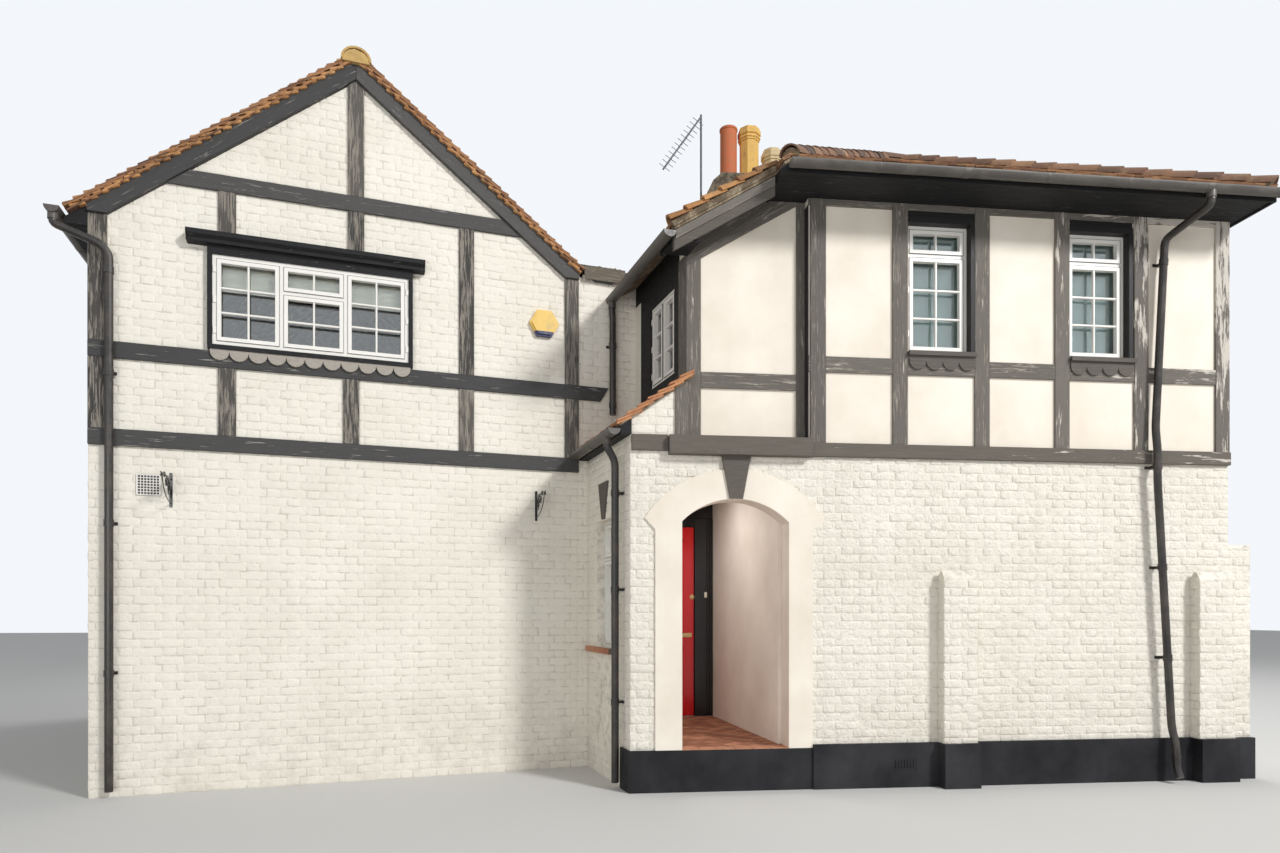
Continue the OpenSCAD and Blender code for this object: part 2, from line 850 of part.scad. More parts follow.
// Posts, rails and window linings of the framed front
panel_t = 22;
post_x = [main_left + 20,
    wing_win_x[0] - win_gap_left[0] - post_w, wing_win_x[0] + wing_win_w + win_gap_right[0],
    wing_win_x[1] - win_gap_left[1] - post_w, wing_win_x[1] + wing_win_w + win_gap_right[1],
    wing_right - post_w];
lining_w = 40;
lining_head = 55;
sill_drop = 40;
frieze_h = 60;
module wing_timbers() {
    color("gray") difference() {
        union() {
            for (x = post_x) block([x, -panel_t, first_z], [x + post_w, 0, soffit_z - fit]);
            block([main_left, -panel_t, wing_rail_z], [wing_right, 0, wing_rail_z + post_w]);
            block([main_left, -panel_t, soffit_z - frieze_h], [wing_right, 0, soffit_z - fit]);
        }
        for (i = [0, 1]) {
            x = wing_win_x[i];
            block([x, -far, wing_win_z], [x + wing_win_w, far, wing_win_z + wing_win_h]);
            block([x - win_gap_left[i], -far, wing_win_z - sill_drop],
                [x + wing_win_w + win_gap_right[i], far, wing_win_z]);
        }
    }
    color("dimgray") for (x = wing_win_x) difference() {
        block([x, -panel_t, wing_win_z], [x + wing_win_w, frame_t, wing_win_z + wing_win_h]);
        block([x - 1, -far, wing_win_z - 1],
            [x + wing_win_w - lining_w, far, wing_win_z + wing_win_h - lining_head]);
    }
}

rake_w = 295;
facet_post_w = 130;
cheek_strip_w = 116;
module facet_timbers() {
    left = edge_x(upper_a, facet_back);
    right = main_left - fit;
    color("gray") {
        intersection() {
            union() {
                block([left, facet_face, first_z], [left + facet_post_w, facet_back, far / 2]);
                block([main_left - 80, facet_face, first_z], [right, facet_back, far / 2]);
                block([left, facet_face, facet_rail_z], [right, facet_back, facet_rail_z + post_w]);
                difference() {
                    block([left, facet_face, facet_rail_z + post_w], [right, facet_back, far / 2]);
                    under_wing(wing_roof_t + rake_w);
                }
            }
            under_wing(wing_roof_t + fit);
            gabled() block([upper_a, -far, 0], [far, far, far]);
        }
        intersection() {
            block([left - cheek_strip_w, -panel_t, wing_beam_top], [left, -fit, far / 2]);
            under_lean_to();
        }
    }
}

wing_frame_y = 60;
wing_transom = 0.77;
module wing_windows() {
    w = wing_win_w - lining_w;
    h = wing_win_h - lining_head;
    color("white") for (x = wing_win_x) translate([x, wing_frame_y, wing_win_z])
        casement(w, h, [h * wing_transom]);
}

side_frame_in = 80;
up_frame_in = 20;
module side_windows() {
    color("white") gabled() {
        translate([side_a + side_frame_in, side_win_b + side_win_w, side_win_z]) rotate([0, 0, -90])
            casement(side_win_w, side_win_h, [side_win_h * 0.7]);
        translate([upper_a + up_frame_in, up_win_b + up_win_w, up_win_z]) rotate([0, 0, -90])
            casement(up_win_w, up_win_h, [0, 0]);
    }
}

scallop_t = 14;
module window_sills() {
    color("gray") {
        for (i = [0, 1]) {
            x = wing_win_x[i];
            block([x - win_gap_left[i] + fit, -60, wing_win_z - sill_drop],
                [x + wing_win_w + win_gap_right[i] - fit, 0, wing_win_z - fit]);
            translate([x, -panel_t - scallop_t, wing_win_z - sill_drop])
                scallops(wing_win_w, 4, 125, scallop_t);
        }
        gabled() block([side_a - 40, side_win_b - 20, side_win_z - 50],
            [side_a, side_win_b + side_win_w + 280, side_win_z]);
    }
}

module stack_notch() {
    block([stack_x, wing_d, 0], [stack_x + stack_w, wing_d + stack_d + 100, far]);
}

module wing_roof() {
    color("sienna") difference() {
        intersection() {
            wing_roof_plan();
            under_wing(0);
        }
        under_wing(wing_roof_t);
        stack_notch();
        gabled() block([-far, -far, 0], [gable_w + fit, far, far]);
    }
}

hip_r = 85;
// Half round tile line between two points
module tile_line(p, q) {
    d = q - p;
    len = norm(d);
    translate(p) rotate([0, acos(d[2] / len), atan2(d[1], d[0])]) cylinder(r = hip_r, h = len, $fn = 12);
}

// Corners of the wing roof, and where its hips end: at the ridge, or at each other where the roof is deep
corner_a = hip_a + side_drop / side_tan;
back_y = wing_d + wing_out;
right_x = wing_right + wing_end_out;
front_left = [edge_x(corner_a, -wing_out), -wing_out, wing_tile_z];
back_left = [edge_x(corner_a, back_y), back_y, wing_tile_z];
hip_lean = wing_tan / side_tan;
front_slant = (hip_lean - sb) / cb;
back_slant = (hip_lean + sb) / cb;
full_run = wing_out + ridge_y;
front_run = min(full_run, (right_x - front_left[0]) / (1 + front_slant));
back_run = min(full_run, (right_x - back_left[0]) / (1 + back_slant));
front_top = front_left + front_run * [front_slant, 1, wing_tan];
back_top = back_left + back_run * [back_slant, -1, wing_tan];
function right_top(run, y) = [right_x - run, y, wing_tile_z + run * wing_tan];
module wing_hip_tiles() {
    low = [0, 0, -35];
    right_front = right_top(front_run, -wing_out + front_run);
    right_back = right_top(back_run, back_y - back_run);
    color("saddlebrown") difference() {
        union() {
            tile_line(front_left + low, front_top + low);
            tile_line(back_left + low, back_top + low);
            tile_line([right_x, -wing_out, wing_tile_z] + low, right_front + low);
            tile_line([right_x, back_y, wing_tile_z] + low, right_back + low);
            if (norm(right_front - front_top) > hip_r) tile_line(front_top + low, right_front + low);
            if (norm(back_top - front_top) > hip_r) tile_line(front_top + low, back_top + low);
        }
        under_wing(-fit);
        block([-far, -far, 0], [far, -wing_out, far]);
        block([right_x, -far, 0], [far, far, far]);
        block([-far, back_y, 0], [far, far, far]);
    }
}

facet_face = facet_back - panel_t;
fascia_y = -wing_out + 30;
side_fascia_a = upper_a - side_out + 30;
side_soffit_z = side_slope(side_fascia_a) - wing_roof_t - 70;
module wing_eaves() {
    x0 = hip_left + 30;
    x1 = wing_right + wing_end_out - 30;
    barge_y = facet_back - facet_verge + 60;
    color("black") {
        intersection() {
            union() {
                block([main_left, fascia_y, soffit_z], [x1, 0, soffit_z + soffit_t]);
                block([x0, fascia_y, soffit_z], [main_left, facet_face, soffit_z + soffit_t]);
                block([x0 - board, fascia_y - board, soffit_z - 15], [x1, fascia_y, wing_tile_z]);
                block([x0 - board, fascia_y, soffit_z - 15], [x0, facet_face, wing_tile_z]);
                block([x1, fascia_y - board, soffit_z - 15], [x1 + board, wing_d, wing_tile_z]);
                block([wing_right, 0, soffit_z], [x1, wing_d, soffit_z + soffit_t]);
            }
            under_wing(wing_roof_t + fit);
        }
        intersection() {
            union() {
                gabled() {
                    block([side_fascia_a, -far, side_soffit_z], [upper_a - fit, 0, side_soffit_z + soffit_t]);
                    block([side_fascia_a, -far, side_soffit_z - 15], [side_fascia_a + board, 0, far]);
                }
                difference() {
                    gabled() block([upper_a - fit, -far, 0], [far, 0, far]);
                    under_wing(wing_roof_t + soffit_t);
                }
            }
            block([-far, barge_y, 0], [x0 - board, facet_face - fit, far]);
            under_wing(wing_roof_t + fit);
        }
        difference() {
            gabled() slab([[side_a - lean_box, lean_z - 140], [side_a - fit, lean_z - 140],
                [side_a - fit, lean_z - fit], [side_a - lean_box, lean_slope(side_a - lean_box) - fit]],
                -side_len - 600, side_len + 600);
            block([-far, -far, 0], [far, -40, far]);
        }
    }
}

module facet_bargeboard() {
    y = facet_back - facet_verge + 20;
    color("gray") intersection() {
        difference() {
            block([-far, y, 0], [hip_left, y + 40, far]);
            under_wing(wing_roof_t + 170);
        }
        under_wing(wing_roof_t + fit);
        gabled() block([side_fascia_a, -far, 0], [far, far, far]);
    }
}

lean_out = 130;
lean_box = 95;
module lean_to_roof() {
    a0 = side_a - lean_out;
    color("chocolate") difference() {
        gabled() slab([[a0, lean_slope(a0)], [upper_a, lean_slope(upper_a)],
            [upper_a, lean_slope(upper_a) + lean_t], [a0, lean_slope(a0) + lean_t]],
            -side_len - 600, side_len + 600);
        block([-far, -far, 0], [far, -50, far]);
        gabled() block([-far, -timber_t - 2, 0], [gable_w, far, far]);
    }
}

link_z = 5050;
link_t = 80;
module link_roof() {
    color("dimgray") difference() {
        union() {
            intersection() {
                gabled() block([gable_w - 400, 0, link_z], [upper_a + 600, far, link_z + link_t]);
                block([-far, -far, 0], [far, wing_d + 60, far]);
            }
            gabled() block([gable_w + fit, -barge_t, gable_eaves - 50],
                [upper_a - side_out, 0, link_z + link_t]);
        }
        gabled() under_gable(-gable_roof_t - fit);
        under_wing(-fit);
        stack_notch();
    }
}

stack_shaft = stack_z - 270;
module chimney_stack() {
    right = stack_x + stack_w;
    color("tan") slab([[stack_x, 0], [right, 0], [right, stack_shaft], [right - 50, stack_shaft + 170],
        [right - 140, stack_z], [stack_x + 200, stack_z], [stack_x + 70, stack_shaft + 150],
        [stack_x, stack_shaft]], wing_d, stack_d);
}

// Octagonal pot built up of rings, each given as its radius and top
module eight_sided(rings) {
    for (i = [0:len(rings) - 1]) {
        low = i == 0 ? 0 : rings[i - 1][1];
        translate([0, 0, low]) rotate(22.5) cylinder(r = rings[i][0], h = rings[i][1] - low, $fn = 8);
    }
}

module flue(r) {
    translate([0, 0, 20]) cylinder(r = r, h = 800, $fn = 48);
}

module chimney_pots() {
    y = wing_d + stack_d / 2;
    color("firebrick") translate([stack_x + 340, y, stack_z]) difference() {
        rotate_extrude($fn = 48)
            polygon([[0, 0], [118, 0], [118, 700], [127, 706], [127, 732], [120, 740], [0, 740]]);
        flue(98);
    }
    color("goldenrod") translate([stack_x + 637, y, stack_z]) difference() {
        eight_sided([[135, 560], [148, 590], [162, 620], [150, 640], [166, 700], [150, 740]]);
        flue(95);
    }
    color("khaki") translate([stack_x + 971, y, stack_z]) difference() {
        eight_sided([[122, 250], [132, 300], [146, 340], [160, 410], [135, 460]]);
        flue(85);
    }
}

// Half round gutter along x from its left end, its back at y 0 and its rim at z 0, with an outlet
outlet_r = pipe_d / 2 + 5;
outlet_h = 45;
module gutter(len, outlet_x) {
    r = gutter_w / 2;
    translate([0, -r, 0]) difference() {
        union() {
            rotate([90, 0, 90]) linear_extrude(len) difference() {
                circle(r = r);
                translate([-r - 1, 0]) square([2 * r + 2, r + 1]);
            }
            translate([outlet_x, 0, -r - outlet_h]) cylinder(r = outlet_r, h = outlet_h + r * 0.6);
        }
        rotate([90, 0, 90]) translate([0, 0, gutter_t]) linear_extrude(len - 2 * gutter_t)
            circle(r = r - gutter_t);
        translate([outlet_x, 0, -far]) cylinder(r = pipe_d / 2 + fit, h = far);
    }
}

// Gutter along the side of the gabled plan, its back at a, its near end and its outlet at b
module side_gutter(a, b, rim, len, outlet_b) {
    gabled() translate([a, b, rim]) rotate([0, 0, 90]) mirror([0, 1, 0]) gutter(len, outlet_b - b);
}

front_rim = wing_tile_z - wing_roof_t - 3;
side_rim = side_slope(upper_a - side_out) - wing_roof_t - 3;
lean_rim = lean_slope(side_a - lean_out) - 3;
gable_rim = gable_eaves - gable_eaves_out * gable_tan + 40;
side_near_b = -side_len - 365;
gable_near_b = -verge_out - 60;
front_pipe_x = wing_right - 609;
gable_pipe_b = gable_near_b + 50;
recess_pipe_b = -90;
lean_pipe_b = -side_len + 190;
module gutters() {
    x0 = front_left[0] + 2;
    gutter_back = -gable_eaves_out - fit;
    color("dimgray") {
        translate([x0, fascia_y - board, front_rim]) gutter(right_x - x0, front_pipe_x - x0);
        side_gutter(gutter_back, gable_near_b, gable_rim, gable_d - 2 * gable_near_b, gable_pipe_b);
        side_gutter(side_fascia_a, side_near_b, side_rim, -side_near_b - 40, recess_pipe_b);
        side_gutter(side_a - lean_box, -side_len - 20, lean_rim, side_len - 20, lean_pipe_b);
    }
}

function unit(v) = v / norm(v);
// Level way out of each ring of a pipe, carried on from ring to ring so that the skin doesn't twist
function carried(ways, i) = i == 0 ? unit(cross(ways[0], [0.3, 1, 0.1]))
    : let (u = carried(ways, i - 1)) unit(u - ways[i] * (u * ways[i]));

// Round pipe swept as one closed skin along a run of points and radii
module pipe_run(run) {
    sides = 12;
    count = len(run);
    points = [for (s = run) s[0]];
    dirs = [for (i = [0:count - 2]) unit(points[i + 1] - points[i])];
    ways = [for (i = [0:count - 1])
        i == 0 ? dirs[0] : i == count - 1 ? dirs[count - 2] : unit(dirs[i - 1] + dirs[i])];
    rings = [for (i = [0:count - 1]) let (u = carried(ways, i), v = cross(ways[i], u))
        for (k = [0:sides - 1]) let (turn = k * 360 / sides)
            points[i] + run[i][1] * (u * cos(turn) + v * sin(turn))];
    walls = [for (i = [0:count - 2]) for (k = [0:sides - 1])
        let (n = (k + 1) % sides) [i * sides + k, (i + 1) * sides + k, (i + 1) * sides + n, i * sides + n]];
    first = [for (k = [0:sides - 1]) k];
    last = [for (k = [sides - 1:-1:0]) (count - 1) * sides + k];
    polyhedron(rings, concat([first], walls, [last]));
}

bend_r = 55;
// Rounded elbow at a corner of a pipe, in four steps
function elbow(a, b, c) =
    let (r = min(bend_r, 0.45 * norm(a - b), 0.45 * norm(c - b)),
        p = b + r * unit(a - b), q = b + r * unit(c - b))
    [for (k = [0:3]) let (t = k / 3) [(1 - t) * (1 - t) * p + 2 * t * (1 - t) * b + t * t * q, pipe_d / 2]];
collar_h = 60;
// Raised collar at a share of the way between two corners
function collar(p, q, share) = let (u = unit(q - p), c = p + share * (q - p), r = pipe_d / 2, wide = r + 5)
    [[c - u * (collar_h / 2 + 1), r], [c - u * collar_h / 2, wide],
        [c + u * collar_h / 2, wide], [c + u * (collar_h / 2 + 1), r]];
// Run of a pipe through its corners, with collars given as a corner's number and a share
function piping(corners, collars) = let (last = len(corners) - 1) [for (i = [0:last]) each concat(
    i == 0 || i == last ? [[corners[i], pipe_d / 2]] : elbow(corners[i - 1], corners[i], corners[i + 1]),
    [for (g = collars) if (g[0] == i) each collar(corners[i], corners[i + 1], g[1])])];

// Clip between a pipe's middle and the face that carries it, turned towards that face
module clip(middle, turn, depth) {
    translate(middle) rotate([0, 0, turn]) {
        block([-8, 0, -12], [8, depth, 12]);
        block([-52, depth - 5, -14], [52, depth, 14]);
    }
}

module pipe(corners, collars, turn, depths) {
    pipe_run(piping(corners, collars));
    for (i = [0:len(collars) - 1]) {
        g = collars[i];
        middle = corners[g[0]] + g[1] * (corners[g[0] + 1] - corners[g[0]]);
        if (depths[i] > 0) clip(middle, turn, depths[i] + (turn == 0 ? -middle[1] - pipe_off : 0));
    }
}

pipe_off = timber_t + pipe_d / 2 + 7;
module downpipes() {
    spout = gutter_w / 2 + 4;
    foot = 60;
    front_y = fascia_y - board - gutter_w / 2;
    low_y = -beam_out - 12;
    gable_a = -gable_eaves_out - fit - gutter_w / 2;
    post_a = timber_w + 26;
    recess_a = upper_a - 278;
    recess_top_a = side_fascia_a - gutter_w / 2;
    lean_a = side_a - lean_box - gutter_w / 2;
    side_pipe_a = side_a - 75;
    color("black") {
        pipe([[front_pipe_x, front_y, front_rim - spout], [front_pipe_x, front_y, front_rim - 160],
            [front_pipe_x - 109, -pipe_off - 10, front_rim - 290], [front_pipe_x - 201, -pipe_off - 10, 3300],
            [front_pipe_x - 201, low_y, 3080], [front_pipe_x - 201, low_y, 2800],
            [front_pipe_x - 61, low_y, 520], [front_pipe_x - 50, low_y - 48, 330],
            [front_pipe_x - 46, low_y - 48, 150], [front_pipe_x - 46, low_y - 90, foot]],
            [[2, 0.12], [4, 0.5], [5, 0.35], [5, 0.72], [7, 0.5]], 0,
            [pipe_off - fit, pipe_off - fit, pipe_off - fit, pipe_off - fit, 0]);
        gabled() {
            pipe([[gable_a, gable_pipe_b, gable_rim - spout], [gable_a, gable_pipe_b, gable_rim - 130],
                [post_a - 60, gable_pipe_b, gable_rim - 250], [post_a, -pipe_off, gable_rim - 320],
                [post_a, -pipe_off, foot]],
                [[3, 0.03], [3, 0.22], [3, 0.5], [3, 0.78]], 0,
                [0, pipe_off - timber_t - fit, pipe_off - fit, pipe_off - fit]);
            pipe([[recess_top_a, recess_pipe_b, side_rim - spout],
                [recess_top_a, recess_pipe_b, side_rim - 130], [recess_a, -pipe_off, side_rim - 200],
                [recess_a, -pipe_off, lean_slope(recess_a) + lean_t + 110]],
                [[2, 0.28], [2, 0.9]], 0, [pipe_off - fit, 0]);
            pipe([[lean_a, lean_pipe_b, lean_rim - spout], [lean_a, lean_pipe_b, lean_rim - 130],
                [side_pipe_a, lean_pipe_b + 8, lean_rim - 245], [side_pipe_a, lean_pipe_b + 8, foot]],
                [[2, 0.1], [2, 0.4], [2, 0.75]], -90, [75 - fit, 75 - fit, 75 - fit]);
        }
    }
}

back_frame_in = 100;
module back_windows() {
    color("white") {
        gabled() for (z = [back_low_z, mid_rail_z])
            translate([(gable_w + back_win_w) / 2, gable_d - back_frame_in + frame_depth, z])
                rotate([0, 0, 180]) casement(back_win_w, back_win_h, [0, 0]);
        for (z = [back_low_z, mid_rail_z])
            translate([wing_back_x + back_win_w, wing_d - back_frame_in + frame_depth, z]) rotate([0, 0, 180])
                casement(back_win_w, back_win_h, [0, 0]);
    }
}

// Glass behind the bars of each window
module window_glass() {
    g = 6;
    color("lightblue") {
        gabled() {
            translate([win_a, box_frame_y + frame_depth, win_z]) cube([win_w, g, win_h]);
            translate([side_a + side_frame_in + frame_depth, side_win_b, side_win_z])
                cube([g, side_win_w, side_win_h]);
            translate([upper_a + up_frame_in + frame_depth, up_win_b, up_win_z])
                cube([g, up_win_w, up_win_h]);
            for (z = [back_low_z, mid_rail_z])
                translate([(gable_w - back_win_w) / 2, gable_d - back_frame_in - g, z])
                    cube([back_win_w, g, back_win_h]);
        }
        for (x = wing_win_x) translate([x, wing_frame_y + frame_depth, wing_win_z])
            cube([wing_win_w - lining_w, g, wing_win_h - lining_head]);
        for (z = [back_low_z, mid_rail_z]) translate([wing_back_x, wing_d - back_frame_in - g, z])
            cube([back_win_w, g, back_win_h]);
    }
}

alarm_a = gable_w - 360;
alarm_z = 4487;
module alarm_box() {
    color("gold") gabled() translate([alarm_a, 0, alarm_z]) rotate([90, 0, 0]) {
        cylinder(r = 150, h = 45, $fn = 6);
        cylinder(r = 132, h = 60, $fn = 6);
    }
}

// Vent of square holes
vent_at = [355, 2596];
vent_size = [190, 12, 181];
vent_count = 7;
vent_pitch = 24;
vent_hole = 13;
module vent_grille() {
    span = vent_pitch * (vent_count - 1) + vent_hole;
    color("ivory") gabled() translate([vent_at[0], -vent_size[1], vent_at[1]]) difference() {
        cube([vent_size[0], vent_size[1] - fit, vent_size[2]]);
        for (i = [0:vent_count - 1], k = [0:vent_count - 1])
            translate([(vent_size[0] - span) / 2 + i * vent_pitch, -1,
                (vent_size[2] - span) / 2 + k * vent_pitch])
                cube([vent_hole, vent_size[1] + 2, vent_hole]);
    }
}

// Iron wall bracket: a back plate, an arm, a curved brace and a ring at the tip
bracket_in = [622, 438];
bracket_a = [bracket_in[0], gable_w - bracket_in[1]];
arm_z = 2745;
arm_len = 260;
plate_low = 245;
plate_up = 55;
ring_r = 24;
brace_r = 190;
module wall_brackets() {
    color("black") gabled() for (a = bracket_a) {
        block([a - 12, -8, arm_z - plate_low], [a + 12, -fit, arm_z + plate_up]);
        block([a - 6, -arm_len, arm_z - 6], [a + 6, -8, arm_z + 6]);
        translate([a - 5, -8 - brace_r, arm_z - brace_r]) rotate([90, 0, 90])
            rotate_extrude(angle = 90, $fn = 48) translate([brace_r - 10, 0]) square([10, 10]);
        translate([a - 5, 6 - arm_len - ring_r, arm_z]) rotate([90, 0, 90]) linear_extrude(10) difference() {
            circle(r = ring_r);
            circle(r = ring_r - 10);
        }
    }
}

// Aerial on a mast at the side of the stack
boom_len = 940;
boom_tilt = -145;
rod_count = 12;
mast_up = 920;
mast_len = 1490;
module aerial() {
    x = stack_x - 54;
    y = wing_d + stack_d / 2;
    top = stack_z + mast_up;
    color("silver") {
        translate([x, y, top - mast_len]) cylinder(d = 30, h = mast_len);
        for (z = [stack_shaft - 240, stack_shaft - 40])
            block([x, y - 12, z], [stack_x - fit, y + 12, z + 30]);
        translate([x, y, top - 30]) rotate([0, boom_tilt, 0]) {
            translate([-12, -12, 0]) cube([24, 24, boom_len]);
            for (i = [1:rod_count])
                translate([-90, -3, i * (boom_len - 40) / rod_count]) cube([180, 6, 6]);
        }
    }
}

gable_front_wall();
gable_left_wall();
gable_right_wall();
gable_back_wall();
gable_ground_floor();
gable_first_floor();
gable_timbers();
bargeboards();
eaves_box();
gable_roof();
gable_ridge_tiles();
box_window_frame();
box_window_hood();
box_window_apron();
recess_wall();
side_wall();
front_left_pier();
front_right_wall();
arch_head();
arch_surround();
keystones();
plinth_left();
plinth_right();
pilasters();
end_pier();
wing_right_wall();
wing_back_wall();
wing_ground_floor();
wing_first_floor();
porch_floor();
porch_right_wall();
porch_back_wall();
door_frame();
front_door();
wing_beams();
main_front();
left_facet();
upper_side_wall();
wing_timbers();
facet_timbers();
wing_windows();
side_windows();
window_sills();
wing_roof();
wing_hip_tiles();
wing_eaves();
facet_bargeboard();
lean_to_roof();
link_roof();
chimney_stack();
chimney_pots();
gutters();
downpipes();
back_windows();
window_glass();
alarm_box();
vent_grille();
wall_brackets();
aerial();
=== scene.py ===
"""Looks of a half timbered house: painted bricks, weathered timbers, clay tiles, windows and gutters."""

import json
import logging
import math
import random
from collections.abc import Iterable, Sequence
from dataclasses import dataclass, field, is_dataclass
from enum import Enum

import bmesh
import bpy
from mathutils import Matrix, Vector


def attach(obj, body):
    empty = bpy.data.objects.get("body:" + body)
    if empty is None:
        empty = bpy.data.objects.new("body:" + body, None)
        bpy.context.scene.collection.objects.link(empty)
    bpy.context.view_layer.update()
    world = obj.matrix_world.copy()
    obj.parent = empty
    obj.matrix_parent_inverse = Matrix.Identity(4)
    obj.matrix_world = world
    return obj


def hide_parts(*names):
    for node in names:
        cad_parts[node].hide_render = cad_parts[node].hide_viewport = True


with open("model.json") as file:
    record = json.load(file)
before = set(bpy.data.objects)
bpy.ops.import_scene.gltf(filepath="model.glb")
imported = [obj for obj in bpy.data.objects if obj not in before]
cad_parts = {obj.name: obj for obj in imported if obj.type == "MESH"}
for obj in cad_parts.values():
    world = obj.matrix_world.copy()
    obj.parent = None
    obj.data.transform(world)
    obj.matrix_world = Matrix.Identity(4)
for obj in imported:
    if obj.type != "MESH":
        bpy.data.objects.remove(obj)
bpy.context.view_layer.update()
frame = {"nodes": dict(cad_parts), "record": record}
log = logging.getLogger("house")

Flat = tuple[float, float]
Box = tuple[float, float, float, float]
Colour = tuple[float, float, float]
Face = tuple[int, ...]
Socket = bpy.types.NodeSocket
Material = bpy.types.Material
HOUSE = "house"
DOOR = "door"
UP = Vector((0.0, 0.0, 1.0))
RIGHT = Vector((1.0, 0.0, 0.0))
LEFT = Vector((-1.0, 0.0, 0.0))
INTO = Vector((0.0, 1.0, 0.0))
OUT = Vector((0.0, -1.0, 0.0))
FACE_GAP = 0.0005


class Bond(Enum):
    """How the bricks of a wall lie in their courses."""

    FLEMISH = "flemish"
    STRETCHER = "stretcher"


def ring_faces(rings: int, sides: int) -> list[Face]:
    """Works out the faces between rings of points, and then those that close the two ends.

    Args:
        rings: how many rings there are.
        sides: points in each.

    Returns:
        The faces, as indices of the points.
    """
    faces: list[Face] = []
    for start in range(0, (rings - 1) * sides, sides):
        for k in range(sides):
            after = (k + 1) % sides
            faces.append((start + k, start + after, start + sides + after, start + sides + k))
    last = (rings - 1) * sides
    return [*faces, tuple(range(sides - 1, -1, -1)), tuple(range(last, last + sides))]


def plate_faces(count: int) -> list[Face]:
    """Faces of a plate whose two outlines have the same count of points."""
    flats: list[Face] = [tuple(range(count)), tuple(range(2 * count - 1, count - 1, -1))]
    return flats + [(i, i + count, (i + 1) % count + count, (i + 1) % count) for i in range(count)]


def eased_faces() -> list[Face]:
    """Works out the faces of a box with eased edges.

    Returns:
        The flat sides, the eased edges and the corner triangles, as indices of its 24 points.
    """

    def at(sx: int, sy: int, sz: int, axis: int) -> int:
        """Index of a corner's point that lies in the side square to an axis."""
        return (sx * 4 + sy * 2 + sz) * 3 + axis

    ring = ((0, 0), (1, 0), (1, 1), (0, 1))
    faces: list[Face] = []
    for s in (0, 1):
        faces.append(tuple(at(s, a, b, 0) for a, b in ring))
        faces.append(tuple(at(a, s, b, 1) for a, b in ring))
        faces.append(tuple(at(a, b, s, 2) for a, b in ring))
    for s in (0, 1):
        for t in (0, 1):
            faces.append((at(s, t, 0, 0), at(s, t, 1, 0), at(s, t, 1, 1), at(s, t, 0, 1)))
            faces.append((at(s, 0, t, 0), at(s, 1, t, 0), at(s, 1, t, 2), at(s, 0, t, 2)))
            faces.append((at(0, s, t, 1), at(1, s, t, 1), at(1, s, t, 2), at(0, s, t, 2)))
            faces += [(at(s, t, u, 0), at(s, t, u, 1), at(s, t, u, 2)) for u in (0, 1)]
    return faces


SHARP_FACES = [(0, 1, 3, 2), (4, 6, 7, 5), (0, 4, 5, 1), (2, 3, 7, 6), (0, 2, 6, 4), (1, 5, 7, 3)]
EASED_FACES = eased_faces()


